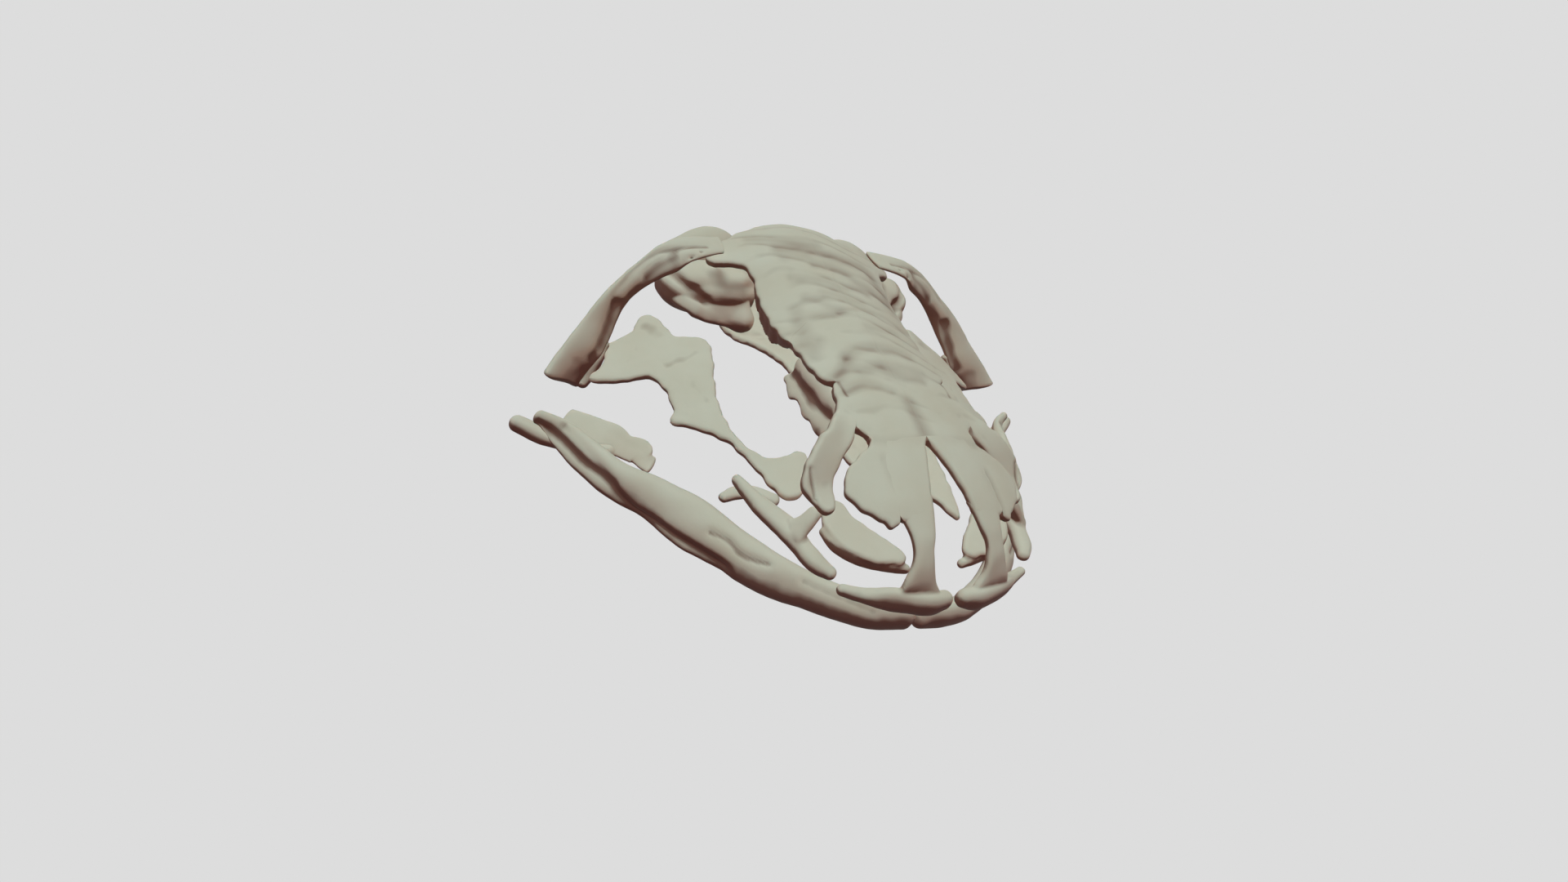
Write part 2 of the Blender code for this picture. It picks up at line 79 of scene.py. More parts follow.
ROOF_SWELLS = ((0.05, 2.6, 1.0), (0.025, 1.1, 5.0))    # height, size and seed of the roof's unevenness
BONE_SWELLS = ((0.035, 1.9, 1.0), (0.018, 0.8, 5.0))   # the same for the other bones
RIPPLE_HEIGHT = 0.03     # long ripples across the roof
RIPPLE_LENGTH = 1.15     # from one ripple to the next
FOLD_HEIGHT = 0.11       # folds along the walls beside the brain
FOLD_LENGTH = 1.35       # from one fold to the next
WRINKLE_SPREAD = 1.55    # how soft the wrinkles of the roof are
WRINKLE_DEPTH = 0.45     # how deep they are against the depths below
LIP_PLACE = 1.5          # a wrinkle's raised lip lies this many of its widths behind it
LIP_HEIGHT = 0.5         # height of the lip against the depth, where the wrinkle runs across
SMOOTH_FRONT = 1.1       # the roof is smooth in front of this y
SMOOTH_FADE = 1.5        # and grows uneven over this length
WRINKLE_SHADE = 0.17     # how much painted shade lies in them, against their depth
RIPPLE_SHADE = 0.011     # the same for the ripples

PAINTED_UNDERSIDE_SHADE = 0.19       # painted shade: how much browner the undersides are painted
SIDE_LEVEL = 0.45        # upward part of the normal below which that painted shade begins
FLAT_LEVEL = 0.95        # a point beside a face that is as level as this gets none of it
FLAT_FADE = 0.2          # and one that is less level by this gets it in full
HOLLOW_ROUNDS = 14       # how wide a hollow may be to get painted shade, in rounds of smoothing

CAMERA_PLACE = (-32.99, -24.25, 34.83)   # x to the skull's left, y and z in skull coordinates
CAMERA_FORWARD = (0.52740, 0.62786, -0.57240)
CAMERA_UP = (0.01173, 0.66826, 0.74383)
LENS = 24.44             # millimetres, on a sensor 36 wide
FLOOR_HALF = 20.0        # half of the floor's side, in metres
BACKDROP = 0.723         # brightness of the floor and of what lies beyond it
LAMPS = (                # name, way to the lamp, spread in degrees, strength and colour
    ("dome", (-0.25, 0.14, 0.96), 180, 1.84, (1.0, 0.41, 0.38)),
    ("top", (-0.25, 0.14, 0.96), 30, 2.36, (0.51, 1.0, 1.0)),
)

BONE_TONES = ((0.3, (0.465, 0.465, 0.375, 1)), (0.7, (0.49, 0.505, 0.42, 1)))   # place on the ramp, colour
# Colour of the painted shade in hollows, on undersides and along dark rims.
PAINTED_SHADE_BROWN = (0.16, 0.10, 0.075, 1)
PAINTED_SHADE_RANGE = (0.004, 0.07)          # value of the painted shade, in millimetres of hollow, where its brown begins and where it is full
BLOTCH_SCALE = 420                   # blotches and grain to the metre
GRAIN_SCALE = 2600
GRAIN_HEIGHT = 0.00003               # metres

# Height of the roof's midline over the length, and how fast the roof falls to the sides.
CREST_Y = (-1.5, -0.6, -0.2, 0.4, 1.1, 1.8, 3.0, 4.2, 5.5, 7.6, 9.8, 13.0, 16.7, 19.4, 21.5, 22.5, 23.5)
CREST_Z = (3.4, 4.3, 5.3, 5.95, 6.5, 6.9, 7.35, 7.7, 8.0, 8.35, 8.6, 8.9, 9.15, 9.35, 9.3, 9.0, 8.4)
FALL_Y = (8.0, 10.0, 13.0, 16.5, 19.5, 21.5, 23.0)
FALL = (0.035, 0.045, 0.070, 0.067, 0.042, 0.058, 0.075)


def along(y, places, values):
    """Value at y of the smooth line through the given places."""
    y = np.asarray(y, float)
    p = np.asarray(places, float)
    v = np.asarray(values, float)
    slope = np.gradient(v, p)
    i = np.clip(np.searchsorted(p, y) - 1, 0, len(p) - 2)
    w = p[i + 1] - p[i]
    t = np.clip((y - p[i]) / w, 0, 1)
    a = (1 + 2 * t) * (1 - t) ** 2 * v[i] + t * (1 - t) ** 2 * w * slope[i]
    b = t * t * (3 - 2 * t) * v[i + 1] + t * t * (t - 1) * w * slope[i + 1]
    return a + b


def through(rows, step, closed):
    """Smooth line through the rows, cut at about every step; a row given twice is a corner."""
    p = np.array(rows, float)
    n = len(p)
    out = []
    for i in range(n if closed else n - 1):
        b = p[i]
        c = p[(i + 1) % n]
        a = p[i - 1] if closed or i > 0 else 2 * b - c
        d = p[(i + 2) % n] if closed or i < n - 2 else 2 * c - b
        length = float(np.linalg.norm((c - b)[:3]))
        if length < 1e-6:
            continue
        count = max(1, round(length / step))
        for k in range(count):
            t = k / count
            cubic = (2 * a - 5 * b + 4 * c - d) * t ** 2 + (3 * b - a - 3 * c + d) * t ** 3
            out.append(0.5 * (2 * b + (c - a) * t + cubic))
    if not closed:
        out.append(p[-1])
    return np.array(out)


def unit(v):
    return v / np.maximum(np.linalg.norm(v, axis=-1, keepdims=True), 1e-9)


def line_distance(points, line):
    """Distance of each point from an open line, in 2 or 3 dimensions."""
    best = np.full(len(points), 1e9)
    for a, b in zip(line[:-1], line[1:]):
        ab = b - a
        ap = points - a
        t = np.clip((ap @ ab) / max(float(ab @ ab), 1e-12), 0, 1)
        best = np.minimum(best, np.linalg.norm(ap - t[:, None] * ab, axis=1))
    return best


def inside_loop(points, loop):
    """Whether each point lies inside a closed outline."""
    count = np.zeros(len(points), int)
    for a, b in zip(loop, np.roll(loop, -1, axis=0)):
        crosses = (a[1] > points[:, 1]) != (b[1] > points[:, 1])
        rise = b[1] - a[1] if abs(b[1] - a[1]) > 1e-12 else 1e-12
        x = a[0] + (points[:, 1] - a[1]) * (b[0] - a[0]) / rise
        count += crosses & (points[:, 0] < x)
    return count % 2 == 1


def waver(loop):
    """Outline with small waves that fade out towards the midline."""
    u = loop[:, 0]
    v = loop[:, 1]
    fade = WAVER * np.clip(np.abs(u) - CALM, 0, 1)
    du = np.sin(5.1 * v + 1.9 * u) + 0.6 * np.sin(8.7 * v - 3.1 * u + 1.0)
    dv = np.sin(4.7 * u - 1.3 * v + 2.0) + 0.6 * np.sin(9.3 * u + 2.2 * v)
    return loop + np.stack([du * fade, dv * fade], 1) * 0.6


def plate(outline, surface, thick, seams=(), under=None, step=STEP):
    """Closed plate with a rounded rim that stays square along the seams where it meets another bone.

    surface(u, v) is its middle and under(u, v) is what hangs from its lower face.
    """
    loop = waver(through(outline, step, True))
    ab = np.roll(loop, -1, axis=0) - loop
    if (loop[:, 0] * ab[:, 1] - loop[:, 1] * ab[:, 0]).sum() < 0:
        loop = loop[::-1].copy()
    edge = unit(np.roll(loop, -1, axis=0) - np.roll(loop, 1, axis=0))
    inward = np.stack([-edge[:, 1], edge[:, 0]], 1)
    closed = np.concatenate([loop, loop[:1]])
    rings = []
    for depth in RIM_RINGS:
        ring = loop + inward * RIM * depth
        keep = inside_loop(ring, loop) & (line_distance(ring, closed) > 0.9 * RIM * depth)
        rings.append(ring[keep])
    lo = loop.min(0)
    hi = loop.max(0)
    rows = []
    for j, v in enumerate(np.arange(lo[1], hi[1], step * ROW_GAP)):
        for u in np.arange(lo[0] + (j % 2) * step / 2, hi[0], step):
            rows.append((u, v))
    grid = np.array(rows)
    grid = grid[inside_loop(grid, loop)]
    grid = grid[line_distance(grid, closed) > RIM + 0.2 * step]
    points = np.concatenate([loop] + rings + [grid])
    border = list(range(len(loop)))
    spot, _, faces, _, _, _ = delaunay_2d_cdt([Vector(p) for p in points], [], [border], 1, 1e-6)
    uv = np.array([tuple(p) for p in spot])
    dist = line_distance(uv, closed)
    away = np.ones(len(uv))
    for seam in seams:
        near = line_distance(uv, waver(through(seam, step, False)))
        away = np.minimum(away, np.clip((near - SEAM_SQUARE) / SEAM_FADE, 0, 1))
    depth = np.clip(dist / RIM, 0, 1)
    full = np.sqrt(1 - (1 - depth) ** 2)
    edge_share = 1 - away * (1 - RIM_THICK)
    half = 0.5 * thick * (edge_share + (1 - edge_share) * full)
    u = uv[:, 0]
    v = uv[:, 1]
    middle = surface(u, v)
    along_u = surface(u + PROBE, v) - surface(u - PROBE, v)
    along_v = surface(u, v + PROBE) - surface(u, v - PROBE)
    normal = unit(np.cross(along_u, along_v))
    top = middle + normal * half[:, None]
    bottom = middle - normal * half[:, None]
    if under is not None:
        bottom[:, 2] -= under(u, v) * depth
    n = len(uv)
    tris = []
    used = set()
    for f in faces:
        a, b, c = (uv[i] for i in f)
        if (b[0] - a[0]) * (c[1] - a[1]) - (b[1] - a[1]) * (c[0] - a[0]) < 0:
            f = f[::-1]
        tris.append(tuple(f))
        tris.append(tuple(i + n for i in reversed(f)))
        for i in range(3):
            used.add((f[i], f[(i + 1) % 3]))
    for a, b in sorted(used):
        if (b, a) not in used:
            tris.append((b, a, a + n))
            tris.append((b, a + n, b + n))
    return np.concatenate([top, bottom]), tris


def rod(centre, across, width, height, squareness, square=True):
    """Closed bar with rounded ends through centres; its width lies along across.

    With square, across is turned to be square to the bar's run.
    """
    forward = unit(np.gradient(centre, axis=0))
    if square:
        across = across - (across * forward).sum(1)[:, None] * forward
    across = unit(across)
    up = unit(np.cross(forward, across))
    angle = np.arange(SIDES) * 2 * math.pi / SIDES + math.pi / SIDES
    c = np.cos(angle)
    s = np.sin(angle)
    px = np.sign(c) * np.abs(c) ** (2 / squareness) / 2
    py = np.sign(s) * np.abs(s) ** (2 / squareness) / 2
    ends = [(math.sin(t), math.cos(t)) for t in np.radians(END_TURNS)]
    rings = []
    place = [(0, -o, k) for o, k in ends]
    place += [(i, 0.0, 1.0) for i in range(len(centre))]
    place += [(len(centre) - 1, o, k) for o, k in reversed(ends)]
    for i, offset, scale in place:
        reach = 0.5 * min(width[i], height[i])
        mid = centre[i] + forward[i] * offset * reach
        x = across[i] * width[i] * scale
        y = up[i] * height[i] * scale
        rings.append(mid + px[:, None] * x + py[:, None] * y)
    verts = np.concatenate(rings)
    faces = []
    n = SIDES
    for r in range(len(rings) - 1):
        for k in range(n):
            a = r * n + k
            b = r * n + (k + 1) % n
            faces.append((a, b, b + n, a + n))
    first = centre[0] - forward[0] * 0.5 * min(width[0], height[0])
    last = centre[-1] + forward[-1] * 0.5 * min(width[-1], height[-1])
    verts = np.concatenate([verts, [first, last]])
    for k in range(n):
        faces.append((len(verts) - 2, (k + 1) % n, k))
        base = (len(rings) - 1) * n
        faces.append((len(verts) - 1, base + k, base + (k + 1) % n))
    return verts, faces


def bar(stations, lean=(0, 0, 1)):
    """Bar through stations (h, y, z, width, height); the height leans towards the given way."""
    rows = through(stations, STEP, False)
    centre = rows[:, :3]
    forward = unit(np.gradient(centre, axis=0))
    across = np.cross(forward, np.array(lean, float))
    return rod(centre, across, rows[:, 3], rows[:, 4], BAR_SQUARENESS)


def blade(ribs, squareness=2.6, square=True):
    """Bar between two edges; a rib is (edge a, edge b, thickness)."""
    centres = [tuple((np.array(a) + np.array(b)) / 2) + tuple(a) + tuple(b) + (t,) for a, b, t in ribs]
    rows = through(centres, STEP, False)
    a = rows[:, 3:6]
    b = rows[:, 6:9]
    width = np.linalg.norm(b - a, axis=1)
    return rod(rows[:, :3], b - a, width, rows[:, 9], squareness, square)


def bulb(centre, plus, minus, bumps=(), squareness=2.5):
    """Closed rounded lump; plus and minus are its reaches each way, bumps are (way, size, spread)."""
    ball = bmesh.new()
    bmesh.ops.create_icosphere(ball, subdivisions=BALL_LEVEL, radius=1.0)
    way = np.array([tuple(v.co) for v in ball.verts])
    faces = [tuple(v.index for v in f.verts) for f in ball.faces]
    ball.free()
    reach = (np.abs(way) ** squareness).sum(1) ** (-1 / squareness)
    for direction, size, spread in bumps:
        d = unit(np.array(direction, float))
        reach = reach + size * np.exp(-((way - d) ** 2).sum(1) / spread ** 2)
    radii = np.where(way > 0, np.array(plus), np.array(minus))
    return np.array(centre) + way * reach[:, None] * radii, faces


def make_object(name, verts, faces):
    mesh = bpy.data.meshes.new(name)
    mesh.from_pydata([tuple(v) for v in verts], [], faces)
    obj = bpy.data.objects.new(name, mesh)
    bpy.context.scene.collection.objects.link(obj)
    return obj


def joined(pieces):
    """Closed pieces put together as they are."""
    faces = []
    base = 0
    for points, polygons in pieces:
        faces += [tuple(i + base for i in f) for f in polygons]
        base += len(points)
    return np.concatenate([p[0] for p in pieces]), faces


def fused(pieces, voxel=VOXEL, rounds=3):
    """One closed skin round overlapping closed pieces, with its creases eased."""
    obj = make_object("fusing", *joined(pieces))
    remesh = obj.modifiers.new("fuse", "REMESH")
    remesh.mode = "VOXEL"
    remesh.voxel_size = voxel
    depsgraph = bpy.context.evaluated_depsgraph_get()
    mesh = bpy.data.meshes.new_from_object(obj.evaluated_get(depsgraph))
    co = np.zeros(len(mesh.vertices) * 3)
    mesh.vertices.foreach_get("co", co)
    polygons = [tuple(p.vertices) for p in mesh.polygons]
    bpy.data.objects.remove(obj, do_unlink=True)
    bpy.data.meshes.remove(mesh)
    return relax(co.reshape(-1, 3), polygons, rounds), polygons


def edge_pairs(faces):
    """The two ends of every edge, each edge once."""
    pairs = set()
    for f in faces:
        for i in range(len(f)):
            a = f[i]
            b = f[(i + 1) % len(f)]
            pairs.add((a, b) if a < b else (b, a))
    return np.array(sorted(pairs))


def relax(verts, faces, rounds):
    """Smooth the skin and keep its volume: each round moves points in and then out again."""
    pairs = edge_pairs(faces)
    count = np.bincount(pairs.ravel(), minlength=len(verts))[:, None]
    for k in range(rounds * 2):
        total = np.zeros_like(verts)
        np.add.at(total, pairs[:, 0], verts[pairs[:, 1]])
        np.add.at(total, pairs[:, 1], verts[pairs[:, 0]])
        share = EASE_IN if k % 2 == 0 else -EASE_OUT
        verts = verts + share * (total / count - verts)
    return verts


def face_normals(verts, faces):
    """The triangles with their normals, then the four-sided faces with theirs."""
    for size in (3, 4):
        chosen = np.array([f for f in faces if len(f) == size], int)
        if len(chosen):
            corners = verts[chosen]
            yield chosen, np.cross(corners[:, 2] - corners[:, 0], corners[:, size - 1] - corners[:, 1])


def skin_normals(verts, faces):
    """Outward normal at each point."""
    total = np.zeros_like(verts)
    for chosen, normal in face_normals(verts, faces):
        for k in range(chosen.shape[1]):
            np.add.at(total, chosen[:, k], normal)
    return unit(total)


def flattest(verts, faces):
    """How much the flattest of the faces round each point looks upwards, from -1 to 1."""
    best = np.full(len(verts), -1.0)
    for chosen, normal in face_normals(verts, faces):
        up = unit(normal)[:, 2]
        for k in range(chosen.shape[1]):
            np.maximum.at(best, chosen[:, k], up)
    return best


def carve(skin, strokes):
    """Press smooth strokes (points, width, depth) into a skin; a negative depth raises it."""
    verts, faces = skin
    normals = skin_normals(verts, faces)
    for points, width, depth in strokes:
        line = through(points, STEP, False) if len(points) > 1 else np.array([points[0], points[0]])
        near = line_distance(verts, line)
        verts = verts - normals * (depth * np.exp(-(near / width) ** 2))[:, None]
    return verts, faces


def bend(skin, points, width, move):
    """Move a skin smoothly by the given vector near a line."""
    verts, faces = skin
    near = line_distance(verts, through(points, STEP, False))
    return verts + np.exp(-(near / width) ** 2)[:, None] * np.array(move), faces


def roof_z(h, y):
    """Height of the outside of the skull roof."""
    return along(y, CREST_Y, CREST_Z) - along(y, FALL_Y, FALL) * h * h


def swell(points, size, seed):
    """Smooth irregular waves of about the given size, from -1 to 1."""
    total = np.zeros(len(points))
    for k in range(7):
        a = seed * 1.7 + k * GOLDEN_ANGLE
        z = math.cos(seed * 0.9 + k * 1.3)
        r = math.sqrt(max(0.0, 1 - z * z))
        way = np.array([r * math.cos(a), r * math.sin(a), z])
        warp = 0.8 * np.sin(points @ np.roll(way, 1) * 2.1 / size + k)
        total += np.sin(points @ way * 2 * math.pi / (size * (0.7 + 0.12 * k)) + warp + 1.9 * k)
    return total / 7


def unevenness(points, swells):
    """Sum of the given swells at each point."""
    total = np.zeros(len(points))
    for height, size, seed in swells:
        total += height * swell(points, size, seed)
    return total


# Fine wrinkles of the roof in (x, y), with x to the skull's left: line, width and depth.
WRINKLES = [
    ([(-2.4, 18.7), (-1.7, 18.8), (-0.9, 18.8)], 0.25, 0.07),
    ([(-2.3, 19.6), (-1.1, 19.6), (-0.1, 19.3), (0.8, 19.0), (1.6, 18.8), (2.7, 18.7), (3.2, 18.4),
      (3.5, 17.6), (3.9, 16.9), (3.8, 15.9)], 0.32, 0.15),
    ([(-0.7, 18.1), (0.5, 17.9), (1.1, 17.5), (1.6, 16.9), (2.3, 16.7), (3.1, 16.3)], 0.30, 0.11),
    ([(-2.4, 17.3), (-1.7, 17.0), (-0.6, 16.7), (0.0, 16.2), (0.9, 16.2), (1.7, 15.9)], 0.28, 0.09),
    ([(-1.2, 15.8), (-0.6, 15.6), (0.0, 15.2), (0.8, 15.0)], 0.26, 0.08),
    ([(-2.3, 15.7), (-1.9, 15.3), (-1.4, 14.7), (-0.9, 14.4)], 0.26, 0.08),
    ([(-1.0, 14.2), (-0.1, 14.35), (0.6, 14.35), (1.9, 14.25), (2.6, 14.0), (3.2, 13.7), (4.0, 13.0)],
     0.16, 0.08),
    ([(-2.4, 14.1), (-1.5, 14.0)], 0.25, 0.07),
    ([(0.2, 13.0), (1.0, 12.9), (2.1, 13.0)], 0.28, 0.08),
    ([(-2.0, 11.0), (-1.1, 11.3), (-0.1, 11.4), (0.9, 11.3), (1.9, 11.0)], 0.30, 0.10),
    ([(-1.8, 9.8), (-0.8, 9.9), (-0.1, 9.5), (0.7, 9.2), (1.7, 9.2)], 0.28, 0.11),
    ([(-0.3, 10.1), (0.8, 10.0), (2.1, 9.8)], 0.25, 0.08),
    ([(-3.0, 8.7), (-2.3, 8.9), (-1.6, 8.8), (-0.7, 8.3)], 0.26, 0.09),
    ([(-3.3, 13.4), (-3.7, 12.4)], 0.32, 0.09),
    ([(-2.9, 12.4), (-3.6, 11.5)], 0.32, 0.09),
    ([(-3.1, 15.0), (-3.3, 14.1)], 0.28, 0.09),
    ([(-2.1, 10.7), (-2.6, 10.1), (-3.2, 9.5)], 0.25, 0.15),
    ([(-3.5, 21.0), (-2.5, 20.6), (-1.0, 20.1), (0.3, 20.0)], 0.25, 0.11),
    ([(-3.1, 5.6), (-2.4, 5.35), (-1.6, 5.2), (-0.6, 5.1)], 0.25, 0.07),
    ([(1.1, 5.0), (2.1, 5.15), (3.6, 5.1), (4.6, 4.9)], 0.25, 0.07),
    ([(0.0, 7.5), (0.0, 6.6), (0.0, 5.5)], 0.3, 0.16),
    ([(-2.9, 4.5), (-2.9, 3.6), (-2.8, 2.8)], 0.21, 0.07),
    ([(2.9, 3.5), (3.0, 2.9), (3.04, 2.2), (3.0, 1.6)], 0.21, 0.14),
]


def ripples(x, y):
    """Patches of long ripples across the roof, from -1 to 1."""
    spot = np.stack([x, y, np.zeros_like(x)], 1)
    phase = (y + 0.22 * x + 0.25 * np.sin(1.4 * x + 0.8 * y)) / RIPPLE_LENGTH
    patch = np.clip(0.5 + swell(spot, 4.0, 2.0) * 1.6, 0, 1) * np.clip((y - 5) / 3, 0, 1)
    return np.sin(2 * math.pi * phase + 1.3 * np.sin(0.7 * x)) * patch


def roof_relief(x, y):
    """Fine unevenness of the roof: ripples, swellings and wrinkles.

    The more a wrinkle runs across, the higher is the lip behind it.
    """
    spot = np.stack([x, y, np.zeros_like(x)], 1)
    relief = RIPPLE_HEIGHT * ripples(x, y) + unevenness(spot, ROOF_SWELLS)
    for points, width, depth in WRINKLES:
        line = through(points, STEP, False)
        run = np.abs(line[-1] - line[0])
        width = width * WRINKLE_SPREAD
        depth = depth * WRINKLE_DEPTH
        near = line_distance(spot[:, :2], line)
        lip = line_distance(spot[:, :2], line + np.array([0, width * LIP_PLACE]))
        raised = LIP_HEIGHT * run[0] / (run[0] + run[1])
        relief = relief - depth * (np.exp(-(near / width) ** 2) - raised * np.exp(-(lip / width) ** 2))
    return relief * np.clip((y - SMOOTH_FRONT) / SMOOTH_FADE, 0, 1)


def on_roof(h, y, side):
    """Middle of a roof plate on one side of the skull."""
    return np.stack([h, y, roof_z(h, y) - ROOF_THICK / 2 + roof_relief(side * h, y)], -1)


def roof_plate(outline, side, seams, under=None):
    return plate(outline, lambda h, y: on_roof(h, y, side), ROOF_THICK, seams, under, ROOF_STEP)


# Sutures of the skull roof in (h, y), shared by the bones on both sides of each.
FRONT_SUTURE = [(MIDLINE, 5.55), (1.5, 5.42), (2.3, 5.4), (3.05, 5.6)]
NASAL_SUTURE = [(2.3, 5.4), (2.72, 4.6), (2.9, 3.6), (2.98, 2.6), (3.05, 1.75)]
PREFRONTAL_SUTURE = [(3.46, 6.5), (3.3, 7.4), (3.22, 8.4), (3.26, 9.3)]
CORONAL_SUTURE = [(MIDLINE, 14.45), (1.55, 14.35), (2.7, 13.95), (3.7, 13.35), (4.05, 12.95)]

# Edge of the open slit between the two premaxillae, in (h, y).
SLIT = [(1.75, 0.8), (1.5, 1.3), (1.2, 1.8), (0.9, 3.0), (0.5, 4.26), (0.1, 5.3)]
STEM_END = 1.5           # y at which the sheet behind the stem takes over
STEM_SINK = 0.3          # how fast the sheet sinks into the stem in front of that


def premaxilla(side):
    """Tooth bar, the stem that rises from it, and the sheet that runs back between the nasals."""
    tooth_bar = bar([(0.6, -1.05, 3.5, 0.8, 1.0), (1.4, -1.1, 3.45, 0.9, 1.3), (2.3, -0.9, 3.45, 0.9, 1.3),
                     (3.4, -0.55, 3.4, 0.8, 1.25), (4.5, 0.0, 3.15, 0.7, 0.65), (5.5, 0.4, 3.2, 0.5, 0.5)])
    edges = [(0.85, 3.6, -1.0, -0.55, 3.55), (1.0, 3.4, -0.95, -0.62, 3.95), (1.4, 3.1, -0.65, -0.6, 4.55),
             (1.64, 2.75, -0.22, -0.2, 5.25), (1.62, 2.65, 0.35, 0.35, 5.8), (1.38, 2.75, 1.05, 1.05, 6.25),
             (1.18, 2.95, 1.83, 1.83, 6.63), (1.1, 2.9, 2.3, 2.3, 6.72)]
    ribs = [((a, ya, z), (b, yb, z - FALL[0] * (b * b - a * a)), ROOF_THICK) for a, b, ya, yb, z in edges]
    stem = blade(ribs, squareness=3.5)
    outline = SLIT + [FRONT_SUTURE[0]] * 2 + FRONT_SUTURE[1:3] + NASAL_SUTURE + [(2.7, 1.35), (2.4, 0.8)]

    def surface(h, y):
        sink = STEM_SINK * np.clip(STEM_END - y, 0, 2) ** 2
        return on_roof(h, y, side) - np.stack([0 * h, 0 * h, sink], -1)
    sheet = plate(outline, surface, ROOF_THICK, [FRONT_SUTURE, NASAL_SUTURE], step=ROOF_STEP)
    return joined([sheet, fused([tooth_bar, stem], FINE_VOXEL, rounds=40)])


def nasal(side):
    outline = [NASAL_SUTURE[-1]] * 2
    outline += [(3.12, 1.45), (3.3, 1.38), (3.54, 1.4), (3.8, 1.66), (4.05, 1.8), (4.4, 2.12), (4.72, 2.45),
                (5.0, 2.9), (5.15, 3.5), (4.95, 4.1), (4.65, 4.5), (4.0, 4.9), (3.2, 5.42)]
    outline += [FRONT_SUTURE[-1]] * 2 + [FRONT_SUTURE[-2]] * 2 + NASAL_SUTURE[1:-1]
    return roof_plate(outline, side, [FRONT_SUTURE, NASAL_SUTURE])


# Height of the prefrontal's outer part, which drops from the roof to the front of the orbit.
PREFRONTAL_Y = (2.8, 3.5, 4.0, 4.5, 5.0, 5.5, 6.0, 6.5, 7.0, 8.0, 9.2)
PREFRONTAL_Z = (5.6, 5.7, 5.85, 6.1, 6.55, 7.0, 7.35, 7.65, 7.85, 8.0, 8.1)


def prefrontal(side):
    outline = [(3.55, 9.1), (3.85, 8.1), (4.6, 7.0), (5.75, 6.05), (6.5, 5.1), (6.8, 4.4), (6.4, 3.8),
               (6.2, 3.3), (5.85, 3.1), (5.35, 3.3), (5.25, 3.8), (5.12, 4.4), (4.7, 5.15), (3.95, 5.75)]
    outline += [PREFRONTAL_SUTURE[0]] * 2 + PREFRONTAL_SUTURE[1:-1] + [PREFRONTAL_SUTURE[-1]] * 2

    def surface(h, y):
        share = np.clip((h - 3.4) / 1.2, 0, 1)
        z = (1 - share) * roof_z(h, y) + share * along(y, PREFRONTAL_Y, PREFRONTAL_Z)
        return np.stack([h, y, z - ROOF_THICK / 2 + roof_relief(side * h, y)], -1)
    skin = plate(outline, surface, ROOF_THICK, [PREFRONTAL_SUTURE], step=ROOF_STEP)
    groove = [(6.37, 4.86, 6.51), (6.33, 4.44, 6.13), (6.32, 3.93, 5.85), (6.36, 3.72, 5.69)]
    return carve(skin, [(groove, 0.14, 0.12)])


def frontal(side):
    front = FRONT_SUTURE[0]
    rear = CORONAL_SUTURE[0]
    outline = [front, front] + FRONT_SUTURE[1:-1] + [FRONT_SUTURE[-1]] * 2 + [PREFRONTAL_SUTURE[0]] * 2
    outline += PREFRONTAL_SUTURE[1:] + [(3.42, 9.52), (3.77, 9.75), (3.95, 10.4), (4.0, 11.2), (4.02, 12.3)]
    outline += [CORONAL_SUTURE[-1]] * 2 + CORONAL_SUTURE[-2:0:-1] + [rear, rear]
    seams = [FRONT_SUTURE, PREFRONTAL_SUTURE, CORONAL_SUTURE, [front, rear]]
    return roof_plate(outline, side, seams)


def parietal(side):
    """Rear of the roof, with a flange that hangs from its outer edge."""
    front = CORONAL_SUTURE[0]
    rear = (MIDLINE, 23.0)
    outline = [front, front] + CORONAL_SUTURE[1:-1] + [CORONAL_SUTURE[-1]] * 2
    outline += [(4.3, 13.9), (4.4, 15.4), (4.4, 16.6), (4.3, 17.8), (4.5, 18.8), (5.2, 19.3), (5.9, 19.8),
                (5.8, 20.8), (5.2, 21.5), (4.1, 21.9), (3.0, 22.4), (1.5, 22.8), rear, rear]

    def flange(h, y):
        reach = along(y, (12.6, 13.6, 14.6, 16.2, 17.4, 18.2), (0.0, 0.4, 0.85, 0.8, 0.5, 0.0))
        return reach * np.exp(-((h - 4.1) / 0.3) ** 4)
    return roof_plate(outline, side, [CORONAL_SUTURE, [front, rear]], flange)


